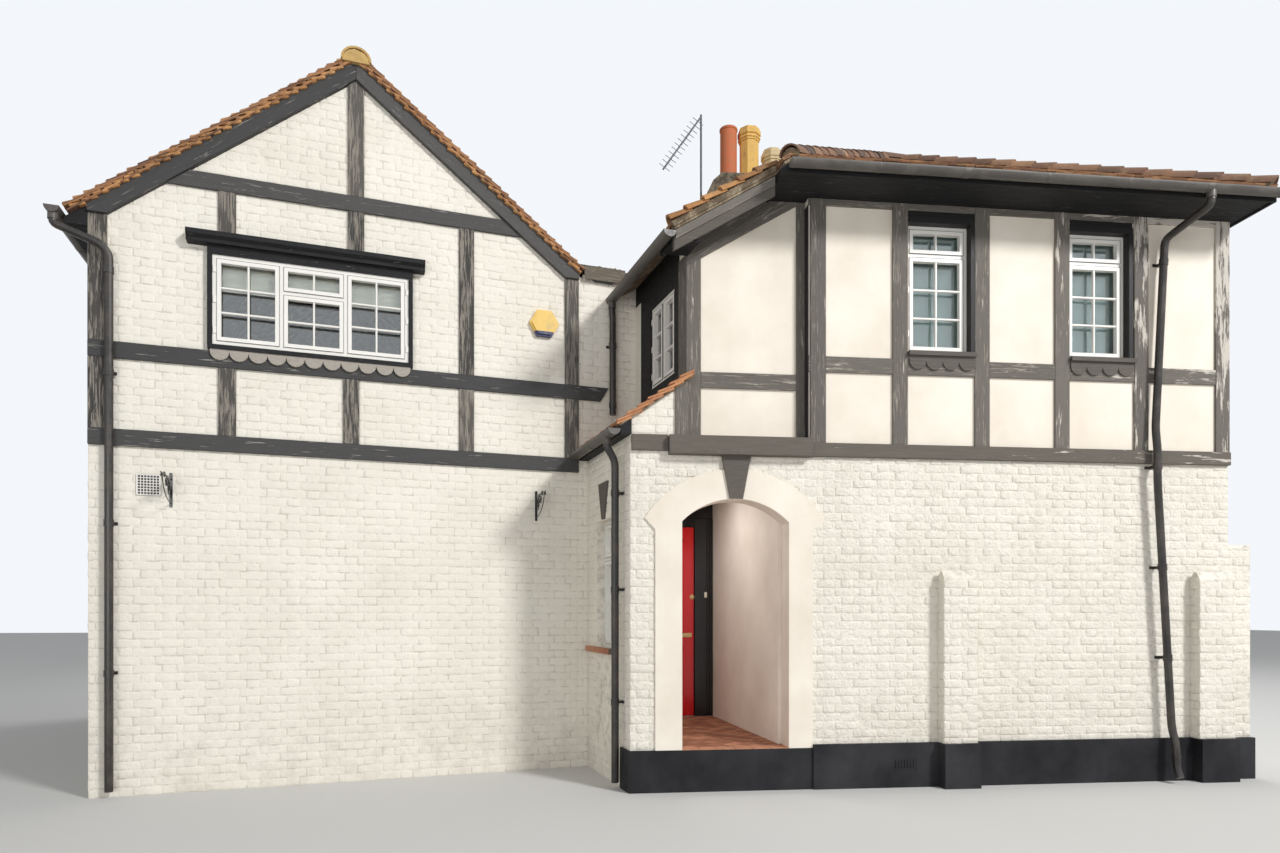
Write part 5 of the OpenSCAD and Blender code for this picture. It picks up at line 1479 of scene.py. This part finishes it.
@dataclass
class GableTimbers:
    """Rails, studs and bargeboards of the gabled front."""

    wide: float = 0.142
    thick: float = 0.030
    low_z: float = 3.010
    mid_z: float = 3.757
    collar_z: float = 5.325
    hood_top: float = 4.945
    barge_depth: float = 0.134
    barge_thick: float = 0.055

    def build(self, looks: Finishes) -> None:
        """Cuts and fixes every board."""
        w = PLAN.gable_w
        drop = self.barge_depth / math.cos(PLAN.gable_pitch)
        foot = PLAN.gable_eaves + self.wide * math.tan(PLAN.gable_pitch) - drop
        apex, eaves = (w / 2, PLAN.apex_z - drop), PLAN.gable_eaves - drop
        under = [(apex, (0, eaves)), ((w, eaves), apex)]
        rails, studs, barges = Shape(), Shape(), Shape()
        low_top, mid_top, collar_top = (z + self.wide for z in (self.low_z, self.mid_z, self.collar_z))
        rails.board(GABLE_FRONT, rect(0, self.low_z, w, low_top), 0, self.thick, tone=0.4)
        rails.board(GABLE_FRONT,
                    [(0, self.mid_z), (w + 0.23, self.mid_z), (w + 0.32, mid_top), (0, mid_top)], 0,
                    self.thick, tone=0.3, shift=7)
        rails.board(GABLE_FRONT, clip(rect(0, self.collar_z, w, collar_top), under), 0, self.thick, shift=13)
        rows = ((0, low_top, self.mid_z), (0, mid_top, foot), (w - self.wide, low_top, self.mid_z),
                (w - self.wide, mid_top, foot), (2.079, collar_top, 7),
                (2.079, self.hood_top, self.collar_z), (2.037, low_top, self.mid_z),
                (0.994, low_top, self.mid_z), (0.994, self.hood_top, self.collar_z),
                (3.099, low_top, self.mid_z), (3.099, mid_top, self.collar_z))
        for k, (a, low, high) in enumerate(rows):
            ring = rect(a, low + 0.001, a + self.wide, high - 0.001)
            studs.board(GABLE_FRONT, clip(ring, under) if high > 5.6 else ring, 0, self.thick - 0.003, 90,
                        0.2 + 0.17 * (k % 5), 2.3 * k)
        sides = [(0, foot), (self.wide, foot), (w / 2 - 0.001, PLAN.apex_z - drop),
                 (w / 2 - 0.001, PLAN.apex_z - 0.001), (0, PLAN.gable_eaves)]
        for place in (GABLE_FRONT, GABLE_BACK):
            barges.board(place, sides, 0, self.barge_thick, 38, 0.3, 3)
            barges.board(place, [(w - a, z) for a, z in sides], 0, self.barge_thick, -38, 0.6, 9)
        rails.build("gable_rails", looks.charcoal, "charcoal_timber", ["gable_timbers"], ease=0.004)
        studs.build("gable_studs", looks.weathered, "charcoal_timber", ease=0.004)
        barges.build("gable_barges", looks.charcoal, "charcoal_timber", ["bargeboards"], ease=0.004)


@dataclass
class WingTimbers:
    """Posts, rails, window linings and beams of the framed upper floor."""

    wide: float = 0.142
    thick: float = 0.022
    rail_z: float = 3.737
    top: float = 5.2895
    left: float = 0.66
    posts: tuple[float, ...] = (0.680, 1.447, 2.231, 3.014, 3.805, 4.638)
    windows: tuple[float, ...] = (1.600, 3.160)
    window_w: float = 0.63
    sill: float = 3.95
    head: float = 5.18
    lining_w: float = 0.040
    lining_h: float = 0.055
    face_y: float = 0.078
    back_y: float = 0.100
    rake_w: float = 0.295
    facet_rail: Flat = (3.590, 3.732)
    facet_stiles: Flat = (0.130, 0.079)

    def build(self, looks: Finishes) -> None:
        """Cuts and fixes every board."""
        posts, rails, linings, beams = Shape(), Shape(), Shape(), Shape()
        for k, x in enumerate(self.posts):
            posts.board(WING_FRONT, rect(x, PLAN.first_z, x + self.wide, self.top), 0, self.thick, 90,
                        0.2 + 0.15 * (k % 4), 2.9 * k)
        edges = [self.left, *[e for x in self.posts for e in (x, x + self.wide)]]
        for k in range(0, len(edges) - 1, 2):
            for low, high in ((self.rail_z, self.rail_z + self.wide), (self.top - 0.0595, self.top)):
                rails.board(WING_FRONT, rect(edges[k] + 0.001, low, edges[k + 1] - 0.001, high), 0,
                            self.thick - 0.002, 0, 0.3 + 0.1 * (k % 3), 1.7 * k + low)
        for x in self.windows:
            right, side = x + self.window_w, x + self.window_w - self.lining_w
            linings.board(WING_FRONT, rect(side, self.sill, right, self.head), -0.150, self.thick, 90)
            linings.board(WING_FRONT, rect(x, self.head - self.lining_h, side, self.head), -0.150,
                          self.thick)
            linings.board(WING_FRONT, rect(x - 0.010, self.head, right, self.top - 0.0595), FACE_GAP, 0.012)
        joint = self.posts[0] - 0.0003
        for x0, z0, x1, z1, out in ((-0.605, 2.965, joint, 3.130, 0.095),
                                    (joint, 2.975, PLAN.wing_right, 3.100, 0.040),
                                    (-0.930, 3.000, -0.606, 3.140, 0.035)):
            beams.board(WING_FRONT, rect(x0, z0, x1, z1), 0, out, 0, 0.4, x0)
        posts.build("wing_posts", looks.grey, "grey_timber", ["wing_timbers"], ease=0.003)
        end = wall_place(Vector((self.left, self.back_y, 0)), OUT)
        linings.board(end, rect(0, PLAN.first_z, self.back_y + self.thick, self.top - 0.06), FACE_GAP, 0.004,
                      90)
        rails.build("wing_rails", looks.grey, "grey_timber", ease=0.003)
        linings.build("window_linings", looks.black_wood, "black_frame", ease=0.002)
        beams.build("wing_beam_row", looks.beam, "grey_timber", ["wing_beams"], ease=0.006)
        self.facet(looks)

    def roof_z(self, x: float, drop: float) -> float:
        """Height of the left slope's tiles over the facet's face, less a drop."""
        return TiledRoofs().on_side(x, self.face_y).z - drop

    def facet(self, looks: Finishes) -> None:
        """Cuts the boards of the set back facet and the strip beside it."""
        boards = Shape()
        left, right = PLAN.edge_x(PLAN.upper_a, self.back_y), self.left - 0.001
        near, far = -self.back_y, -self.face_y
        low, high = 0.08 + self.rake_w, 0.084
        rake = [((1, self.roof_z(1, low)), (-1, self.roof_z(-1, low)))]
        for x0, x1 in ((left, left + self.facet_stiles[0]), (right - self.facet_stiles[1], right)):
            boards.board(WING_FRONT, clip(rect(x0, PLAN.first_z, x1, 6), rake), near, far, 90, 0.4, x0 * 3)
        boards.board(WING_FRONT, rect(left + 0.131, self.facet_rail[0], right - 0.080, self.facet_rail[1]),
                     near, far, 0, 0.3)
        angle = math.degrees(math.atan(self.roof_z(1, 0) - self.roof_z(0, 0)))
        band = [(left, self.roof_z(left, low)), (right, self.roof_z(right, low)),
                (right, self.roof_z(right, high)), (left, self.roof_z(left, high))]
        boards.board(WING_FRONT, band, near, far, angle, 0.5, 5)
        ends = [TiledRoofs().on_side(x, -0.25) for x in (PLAN.edge_x(PLAN.upper_a - 0.225, -0.25), 0.289)]
        band = [(v.x, v.z - drop) for v, drop in zip((*ends, *reversed(ends)), (0.165, 0.165, 0.084, 0.084))]
        boards.board(WING_FRONT, band, 0.2502, 0.262, angle, 0.7, 2)
        white = Shape()
        white.block(UPPER_SIDE, (0.001, 3.645, FACE_GAP), (0.166, 4.77, 0.006), 0.002)
        white.build("side_wall_strip", looks.brick, "white_brick")
        turn = -PLAN.back.dot(Vector((left, self.back_y, 0)) - PLAN.corner)
        boards.board(UPPER_SIDE, rect(turn - 0.16, 3.645, turn - 0.001, 4.775), FACE_GAP, 0.010, 90, 0.2, 3)
        foot = left - 0.116
        slope = [(x, 3.274 + (PLAN.a_at(x, 0) - PLAN.side_a) * math.tan(math.radians(35)))
                 for x in (left, foot)]
        boards.board(WING_FRONT, clip(rect(foot, 3.130, left, 5), [(slope[0], slope[1])]), 0.0003,
                     self.thick, 90, 0.6, 8)
        boards.build("facet_boards", looks.grey, "grey_timber", ["facet_timbers"], ease=0.003)


@dataclass
class BoxWindow:
    """Wide window of the gabled front with its hood and surround."""

    left: float = 0.95
    width: float = 1.67
    sill: float = 3.95
    height: float = 0.795
    out: float = 0.045

    @property
    def top(self) -> float:
        """Height of the opening's head."""
        return self.sill + self.height


@dataclass
class SideWindows:
    """Windows of the recess, one in each storey."""

    low_b: float = -0.817
    low_w: float = 0.492
    low_z: float = 1.24
    low_h: float = 1.23
    up_b: float = -1.078
    up_w: float = 0.64
    up_z: float = 3.80
    up_h: float = 0.80


@dataclass(frozen=True)
class Casement:
    """A casement window as the construction sets it, its frame's lower left corner at the place's zero."""

    place: Matrix
    width: float
    height: float
    splits: tuple[float, ...]
    panes: tuple[tuple[int, int], ...]
    frame_bar: float = 0.034
    sash_bar: float = 0.036

    def lights(self) -> list[tuple[float, float, float, float, tuple[int, int]]]:
        """Works out the glazed opening of each sash.

        Returns:
            Left, bottom, right and top of each, and its columns and rows of panes.
        """
        pitch = (self.width - self.frame_bar) / len(self.splits)
        found = []
        for i, split in enumerate(self.splits):
            x0, x1 = self.frame_bar + i * pitch + self.sash_bar, (i + 1) * pitch - self.sash_bar
            low, high = self.frame_bar + self.sash_bar, self.height - self.frame_bar - self.sash_bar
            if split > 0:
                half = self.frame_bar / 2 + self.sash_bar
                found.append((x0, low, x1, split - half, self.panes[i]))
                found.append((x0, split + half, x1, high, (2, 1)))
            else:
                found.append((x0, low, x1, high, self.panes[i]))
        return found


@dataclass
class Joinery:
    """Glazing bars, hinges and blinds of every window, with painted shadow lines round its sashes."""

    bar: float = 0.018
    bar_in: float = -0.028
    lap: float = 0.002
    # gap and gap_out: width and front of the dark strips that paint the shadow lines round each sash.
    gap: float = 0.003
    gap_out: float = 0.0086
    hinge: Box = (-0.011, -0.030, 0.020, 0.030)
    hinge_in: float = 0.014
    hinge_rows: tuple[float, ...] = (0.16, 0.5, 0.84)
    blind_in: float = 0.02

    def windows(self) -> dict[str, Casement]:
        """Lists the windows.

        Returns:
            Each window by its name.
        """
        box, side = BoxWindow(), SideWindows()
        shift = Matrix.Translation
        found = {
            "box": Casement(GABLE_FRONT @ shift((box.left, box.sill, box.out)), box.width, box.height,
                            (0, box.height * 0.66, 0), ((2, 3), (2, 2), (2, 3))),
            "low_side": Casement(SIDE_WALL @ shift((-side.low_b - side.low_w, side.low_z, -0.08)),
                                 side.low_w, side.low_h, (side.low_h * 0.7,), ((2, 2),)),
            "high_side": Casement(UPPER_SIDE @ shift((-side.up_b - side.up_w, side.up_z, -0.02)), side.up_w,
                                  side.up_h, (0, 0), ((1, 3), (1, 3))),
        }
        wing = WingTimbers()
        width, height = wing.window_w - wing.lining_w, wing.head - wing.sill - wing.lining_h
        for k, x in enumerate(wing.windows):
            found[f"wing_{k}"] = Casement(WING_FRONT @ shift((x, wing.sill, -0.06)), width, height,
                                          (height * 0.77,), ((2, 3),))
        walls = PaintedWalls()
        w, h = walls.back_window
        backs = ((GABLE_BACK, (PLAN.gable_w - w) / 2), (WING_BACK, PLAN.wing_right - walls.wing_back_x - w))
        for k, (face, x) in enumerate(backs):
            for row, z in enumerate(walls.back_rows):
                place = face @ shift((x, z, -0.03))
                found[f"back_{k}{row}"] = Casement(place, w, h, (0, 0), ((2, 3), (2, 3)))
        return found

    def build(self, looks: Finishes) -> None:
        """Makes the bars, the hinges and the painted shadow lines round the sashes, and hangs the blinds."""
        bars, hinges, shadow_gaps = Shape(), Shape(), Shape()
        windows = self.windows()
        half = self.bar / 2
        for window in windows.values():
            sash = window.sash_bar
            for x0, z0, x1, z1, (columns, rows) in window.lights():
                for k in range(1, columns):
                    x = x0 + (x1 - x0) * k / columns
                    bars.block(window.place, (x - half, z0 - self.lap, self.bar_in),
                               (x + half, z1 + self.lap, 0.003), 0.004)
                for k in range(1, rows):
                    z = z0 + (z1 - z0) * k / rows
                    bars.block(window.place, (x0 - self.lap, z - half, self.bar_in),
                               (x1 + self.lap, z + half, 0.0025), 0.004)
                # Painted shadow: a thin dark strip round each sash stands for the shade in the gap between
                # sash and frame.
                for a, b, c, d in border(x0 - sash, z0 - sash, x1 + sash, z1 + sash, self.gap):
                    shadow_gaps.block(window.place, (a, b, FACE_GAP), (c, d, self.gap_out))
            left, low, right, high = self.hinge
            for x in (self.hinge_in, window.width - self.hinge_in)[:len(window.splits)]:
                for share in self.hinge_rows:
                    z = window.height * share
                    hinges.block(window.place, (x + left, z + low, -0.001), (x + right, z + high, 0.010),
                                 0.003)
        bars.build("glazing_bars", looks.white, "white_frame")
        hinges.build("window_hinges", looks.white, "white_frame")
        shadow_gaps.build("sash_gaps", looks.gap, "white_frame")
        self.roman(looks, windows["box"])
        for k in (0, 1):
            self.roller(looks, windows[f"wing_{k}"], k)

    def roman(self, looks: Finishes, window: Casement) -> None:
        """Hangs the folded blind behind the top panes of the box window."""
        cloth = Shape()
        front = [(0.008 if k % 2 else 0.0, -0.042 * k) for k in range(7)]
        profile = front + [(x - 0.002, z) for x, z in reversed(front)]
        ends = [window.place @ Vector((x, window.height - 0.035, -0.095))
                for x in (0.03, window.width - 0.03)]
        across = (window.place.to_3x3() @ UP).normalized()
        cloth.add([at + across * x + UP * z for at in ends for x, z in profile], ring_faces(2, len(profile)))
        piece = cloth.build("roman_blind", looks.roman, "cream_render")

    def roller(self, looks: Finishes, window: Casement, number: int) -> None:
        """Hangs a drawn blind behind a window of the wing."""
        cloth = Shape()
        inset = self.blind_in
        cloth.block(window.place, (inset, inset, -0.098),
                    (window.width - inset, window.height - inset, -0.096))
        piece = cloth.build(f"roller_blind_{number}", looks.roller, "cream_render")


@dataclass
class Porch:
    """Lining of the arch, tiled floor and the front door's fittings."""

    half: float = 0.485
    spring: float = 2.385
    rise: float = 0.205
    wall_y: float = 2.30
    leaf_left: float = -0.787
    leaf_w: float = 0.824
    leaf_y: float = 2.320
    leaf_z: float = 0.378
    stile: float = 0.120
    mould_w: float = 0.028
    panels: tuple[Flat, ...] = ((0.950, 2.050), (0.250, 0.800))
    floor_tile: float = 0.108
    floor_joint: float = 0.007
    coat: float = 0.004

    def build(self, looks: Finishes) -> None:
        """Builds lining, floor and fittings."""
        self.lining(looks)
        self.floor(looks)
        self.door(looks)

    def lining(self, looks: Finishes) -> None:
        """Lines the arch with a thin coat of plaster."""
        coat = Shape()
        radius = (self.half ** 2 + self.rise ** 2) / (2 * self.rise)
        centre = self.spring + self.rise - radius
        lean = math.asin(self.half / radius)
        arc = [lean * (1 - k / 12) for k in range(25)]
        low = PLAN.ground_z + 0.001
        rings = []
        for depth in (0.0, self.coat):
            bow = [(-(radius - depth) * math.sin(t), centre + (radius - depth) * math.cos(t)) for t in arc]
            rings.append([(depth - self.half, low), *bow, (self.half - depth, low)])
        for i in range(len(arc) + 1):
            ring = [rings[0][i], rings[0][i + 1], rings[1][i + 1], rings[1][i]]
            coat.board(WING_FRONT, ring, -0.224, 0.019)
        coat.build("arch_lining", looks.plaster, "porch_render")

    def floor(self, looks: Finishes) -> None:
        """Lays a row of large tiles along the front and small ones aslant behind it."""
        tiles = Shape()
        rng = random.Random(4)
        top = PLAN.ground_z + 0.0035
        level = Matrix.Identity(4)
        step = 2 * self.half / 6
        for k in range(6):
            x = -self.half + k * step
            tiles.block(level, (x + 0.002, -0.024, top - 0.02), (x + step - 0.002, 0.135, top), 0.002,
                        rng.uniform(0.7, 1.0))
        regions = (rect(-self.half + 0.005, 0.138, self.half - 0.005, 0.224),
                   [(-0.755, 0.226), (0.447, 0.226), (0.256, 2.275), (-1.225, 2.275)])
        size, near, far = self.floor_tile, self.floor_joint / 2, self.floor_tile - self.floor_joint / 2
        lean = math.sqrt(0.5)
        for i in range(-22, 24):
            for j in range(-22, 24):
                u, v = i * size, j * size
                square = [((u + p - v - q) * lean, (u + p + v + q) * lean) for p, q in
                          ((near, near), (far, near), (far, far), (near, far))]
                tone = rng.uniform(0.0, 0.75)
                for region in regions:
                    piece = clip(square, ring_edges(region))
                    if len(piece) > 2 and abs(signed_area(piece)) > 0.0002:
                        tiles.board(level, piece, top - 0.006, top - rng.uniform(0, 0.001), 0, tone)
        tiles.build("porch_tiles", looks.quarry, "quarry_tile")

    def door(self, looks: Finishes) -> None:
        """Fits the door's mouldings, glazing, lock and letter plate, and the bell push beside it."""
        place = wall_place(Vector((self.leaf_left, self.leaf_y, self.leaf_z)), RIGHT)
        mould, pane, brass, push = Shape(), Shape(), Shape(), Shape()
        left, right = self.stile, self.leaf_w - self.stile
        for low, high in self.panels:
            for x0, z0, x1, z1 in border(left, low, right, high, self.mould_w):
                mould.block(place, (x0, z0, -0.0075), (x1, z1, 0.006), 0.005)
        mould.block(place, (left + 0.06, 0.31, -0.0075), (right - 0.06, 0.74, -0.001), 0.006)
        for z in (1.30, 1.67):
            mould.block(place, (left, z, -0.008), (right, z + 0.022, 0.002), 0.005)
        # The door's glass is a plate of black gloss: its black is painted shade of the dark inside behind
        # the glass.
        pane.block(place, (left + 0.002, 0.952, -0.0118), (right - 0.002, 2.048, -0.0085))
        lock = place @ Matrix.Translation((0.804, 1.382, 0))
        knob = [(0.002, 0.012), (0.016, 0.012), (0.020, 0.009), (0.028, 0.004), (0.029, 0.0), (0.002, 0.0)]
        brass.lathe(lock, knob)
        brass.block(place, (0.56, 0.912, 0.0), (0.80, 0.962, 0.005), 0.002)
        brass.block(place, (0.585, 0.924, 0.005), (0.775, 0.950, 0.008), 0.002)
        boards = Shape()
        wall = wall_place(INTO * self.wall_y, RIGHT)
        boards.block(wall, (-0.855, 2.673, FACE_GAP), (0.2545, 2.878, 0.018), 0.004)
        for x0, x1, out in ((0.183, 0.2545, 0.019), (0.183, 0.196, 0.027), (0.214, 0.222, 0.025),
                            (0.238, 0.2545, 0.03)):
            boards.block(wall, (x0, 0.375, FACE_GAP), (x1, 2.672, out), 0.004)
        boards.build("porch_boards", looks.black, "black_frame")
        bell = wall_place(Vector((0.171, self.wall_y - 0.020, 1.784)), RIGHT)
        push.block(bell, (-0.016, -0.032, 0.0), (0.016, 0.032, 0.008), 0.004)
        push.lathe(bell, [(0.001, 0.013), (0.007, 0.012), (0.008, 0.008), (0.001, 0.007)], 20)
        mould.build("door_mouldings", looks.red, "red_door", body=DOOR)
        pane.build("door_glazing", looks.black, "red_door", body=DOOR)
        brass.build("door_brass", looks.brass, "red_door", body=DOOR, smooth=40)
        push.build("bell_push", looks.ivory, "white_frame", smooth=40)


@dataclass
class Rainwater:
    """Brackets and unions round the gutters."""

    radius: float = 0.056

    def band(self, shape: Shape, at: Vector, way: Vector, length: float, grow: float) -> None:
        """Adds a half round band under a gutter.

        Args:
            shape: gathers the bands.
            at: middle of the gutter's rim where the band begins.
            way: direction along the gutter.
            length: length of the band.
            grow: how far it stands out from the gutter.
        """
        across = way.cross(UP)
        place = Matrix.Translation(at) @ Matrix((across, UP, way)).transposed().to_4x4()
        turns = [math.pi * (1 + k / 14) for k in range(15)]
        for k in range(14):
            ring = [(self.radius * math.cos(t), self.radius * math.sin(t) - drop) for t, drop in
                    ((turns[k], 0), (turns[k], grow), (turns[k + 1], grow), (turns[k + 1], 0))]
            shape.board(place, ring, 0, length)

    def build(self, looks: Finishes) -> None:
        """Puts a bracket at every rafter foot that shows and a union where two lengths meet."""
        bands = Shape()
        runs = ((Vector((0.36, -0.498, 5.347)), Vector((4.86, -0.498, 5.347))),
                (PLAN.at(-0.2263, -0.14, 4.942), PLAN.at(-0.2263, 7.14, 4.942)),
                (PLAN.at(PLAN.upper_a - 0.291, -1.69, 4.809), PLAN.at(PLAN.upper_a - 0.291, -0.06, 4.809)),
                (PLAN.at(PLAN.side_a - 0.151, -1.34, 3.181), PLAN.at(PLAN.side_a - 0.151, -0.05, 3.181)))
        for start, end in runs:
            way = (end - start).normalized()
            length = (end - start).length
            for k in range(1, max(2, round(length / 0.8))):
                at = start + way * (length * k / max(2, round(length / 0.8)))
                self.band(bands, at, way, 0.055 if k % 3 == 2 else 0.018, 0.004)
            self.band(bands, start, way, 0.030, 0.003)
            self.band(bands, end - way * 0.030, way, 0.030, 0.003)
        bands.build("gutter_brackets", looks.gutter, "grey_gutter", smooth=30)
        board, moss = Shape(), Shape()
        board.board(GABLE_FRONT, rect(4.352, 4.988, 4.79, 5.127), 0.0555, 0.060, 0, 0.5, 4)
        board.build("link_board", looks.link, "grey_timber", ease=0.002)
        rng = random.Random(8)
        route = [PLAN.at(4.38 + 0.017 * k, -0.035 + rng.gauss(0, 0.006), 5.127) for k in range(24)]
        moss.tube(route, [rng.uniform(0.006, 0.018) for _ in route], 10)
        moss.build("link_moss", looks.moss, "flat_felt", smooth=60)


@dataclass
class Brackets:
    """Scrolled ironwork of the two wall brackets."""

    places: Flat = (0.622, 3.862)
    arm_z: float = 2.745
    reach: float = 0.42
    drop: float = 0.21
    bar: float = 0.0045

    def curl(self, place: Matrix, centre: Flat, wide: float, turns: float, start: float) -> list[Vector]:
        """Works out a scroll that tightens towards its middle.

        Args:
            place: turns distance out of the wall and height into the part's frame.
            centre: its middle.
            wide: its outer radius.
            turns: how often it goes round.
            start: the angle of its outer end.

        Returns:
            The points along it.
        """
        points = []
        for k in range(33):
            share = k / 32
            radius = wide * (1 - 0.8 * share)
            angle = start + math.tau * turns * share
            points.append(place @ Vector((0, centre[1] + radius * math.sin(angle),
                                          centre[0] + radius * math.cos(angle))))
        return points

    def build(self, looks: Finishes) -> None:
        """Bends the arm's end, the brace and the scrolls of each bracket."""
        iron = Shape()
        for a in self.places:
            place = GABLE_FRONT @ Matrix.Translation((a, self.arm_z, 0))
            iron.tube([place @ Vector((0, 0, u)) for u in (0.24, self.reach)], self.bar * 1.2, 8)
            iron.tube(self.curl(place, (self.reach, -0.022), 0.022, 0.8, math.pi / 2), self.bar, 8)
            brace = [place @ Vector((0, -self.drop * math.cos(t), 0.008 + (self.reach - 0.06) * math.sin(t)))
                     for t in (math.pi / 2 * k / 16 for k in range(17))]
            iron.tube(brace, self.bar, 8)
            iron.tube(self.curl(place, (0.085, -0.080), 0.062, 1.6, -math.pi / 2), self.bar, 8)
            iron.tube(self.curl(place, (0.205, -0.058), 0.044, 1.6, 0.0), self.bar, 8)
        iron.build("bracket_scrolls", looks.black, "black_iron", smooth=50)


@dataclass
class Studio:
    """Floor, camera and lamps, each lamp with its place, its aim, its side and its power in watts."""

    camera_at: tuple[float, float, float] = (-1.649, -7.140, 1.585)
    heading: float = math.radians(-6.36)
    focal_pixels: float = 820.0
    horizon_row: float = 612.0
    image: tuple[int, int] = (1280, 853)
    sensor: float = 36.0
    lamps: tuple[tuple, ...] = (
        ("key", (13, -15, 15), (0, 1, 2.5), 3.6, 4300),
        ("fill", (-5.5, -12, 3), (0, 1, 2.0), 5.0, 340),
        ("rear", (4, 17, 12), (0, 3, 3), 8.0, 1500),
        ("porch", (-0.42, 1.1, 2.85), (-0.2, 1.1, 0), 0.6, 13),
    )

    def camera(self) -> None:
        """Stands the camera where the photograph was taken."""
        data = bpy.data.cameras.new("camera")
        data.sensor_width = self.sensor
        data.lens = self.focal_pixels / self.image[0] * self.sensor
        data.shift_y = (self.horizon_row - self.image[1] / 2) / self.image[0]
        data.clip_end = 200
        eye = bpy.data.objects.new("camera", data)
        eye.location = self.camera_at
        eye.rotation_euler = (math.pi / 2, 0, self.heading)
        bpy.context.scene.collection.objects.link(eye)
        bpy.context.scene.camera = eye

    def floor(self) -> None:
        """Lays a plain pale floor."""
        mesh = bpy.data.meshes.new("floor")
        size = 60.0
        mesh.from_pydata([(-size, -size, 0), (size, -size, 0), (size, size, 0), (-size, size, 0)], [],
                         [(0, 1, 2, 3)])
        recipe = Recipe("pale floor")
        mesh.materials.append(recipe.finish((0.62, 0.61, 0.59), 0.9))
        floor = bpy.data.objects.new("floor", mesh)
        bpy.context.scene.collection.objects.link(floor)

    def hang_lamps(self) -> None:
        """Hangs the square lamps."""
        for name, at, aim, size, power in self.lamps:
            data = bpy.data.lights.new(name, "AREA")
            data.size = size
            data.energy = power
            lamp = bpy.data.objects.new(name, data)
            lamp.location = at
            lamp.rotation_euler = (Vector(aim) - Vector(at)).to_track_quat("-Z", "Y").to_euler()
            bpy.context.scene.collection.objects.link(lamp)

    def world(self) -> None:
        """Lights the object evenly, before a white background."""
        world = bpy.data.worlds.new("studio")
        bpy.context.scene.world = world
        world.use_nodes = True
        tree = world.node_tree
        even = tree.nodes["Background"]
        even.inputs["Color"].default_value = (0.92, 0.96, 1.0, 1)
        even.inputs["Strength"].default_value = 0.42
        shown = tree.nodes.new("ShaderNodeBackground")
        shown.inputs["Color"].default_value = (0.90, 0.93, 0.97, 1)
        shown.inputs["Strength"].default_value = 1.0
        rays = tree.nodes.new("ShaderNodeLightPath")
        seen = rays.outputs["Is Camera Ray"]
        for kind in ("Is Glossy Ray", "Is Transmission Ray"):
            either = tree.nodes.new("ShaderNodeMath")
            either.operation = "MAXIMUM"
            tree.links.new(seen, either.inputs[0])
            tree.links.new(rays.outputs[kind], either.inputs[1])
            seen = either.outputs["Value"]
        blend = tree.nodes.new("ShaderNodeMixShader")
        tree.links.new(seen, blend.inputs["Fac"])
        tree.links.new(even.outputs["Background"], blend.inputs[1])
        tree.links.new(shown.outputs["Background"], blend.inputs[2])
        tree.links.new(blend.outputs["Shader"], tree.nodes["World Output"].inputs["Surface"])

    def build(self) -> None:
        """Sets up camera, floor and light."""
        self.camera()
        self.floor()
        self.world()
        self.hang_lamps()
        bpy.context.scene.view_settings.view_transform = "Standard"


def dress_frame(looks: Finishes) -> None:
    """Gives every construction node that stays its finish.

    Args:
        looks: the finishes.
    """
    rules: dict[str, Material] = {
        "white_brick": looks.brick, "cream_render": looks.panel, "porch_render": looks.plaster,
        "black_plinth": looks.plinth, "charcoal_timber": looks.dark_boards, "grey_timber": looks.grey_boards,
        "cream_timber": looks.cream_wood, "floor_board": looks.boards, "quarry_tile": looks.quarry,
        "roof_tile": looks.tile, "hip_tile": looks.hip_tile, "ridge_tile": looks.ridge_tile,
        "flat_felt": looks.felt, "white_frame": looks.white, "window_pane": looks.glass,
        "black_frame": looks.black, "red_door": looks.red, "black_pipe": looks.pipe,
        "grey_gutter": looks.gutter, "stack_brick": looks.flaunching, "clay_pot": looks.pots,
        "alarm_yellow": looks.yellow, "black_iron": looks.black, "aerial_metal": looks.silver,
    }
    special = {"keystones": looks.grey_boards, "porch_floor": looks.mortar, "vent_grille": looks.vent}
    slots = {row["node"]: row["material_slot"] for row in frame["record"]["subparts"]}
    for name, node in frame["nodes"].items():
        node.data.materials.clear()
        node.data.materials.append(special.get(name, rules[slots[name]]))


def main() -> None:
    """Builds every sub-assembly in order."""
    logging.basicConfig(level=logging.INFO, format="%(name)s %(message)s")
    Studio().build()
    looks = Finishes()
    dress_frame(looks)
    for assembly in (PaintedWalls(), TiledRoofs(), ChimneyStack(), GableTimbers(), WingTimbers(), Joinery(),
                     Porch(), Rainwater(), Brackets()):
        assembly.build(looks)
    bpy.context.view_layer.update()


if __name__ == "__main__":
    main()
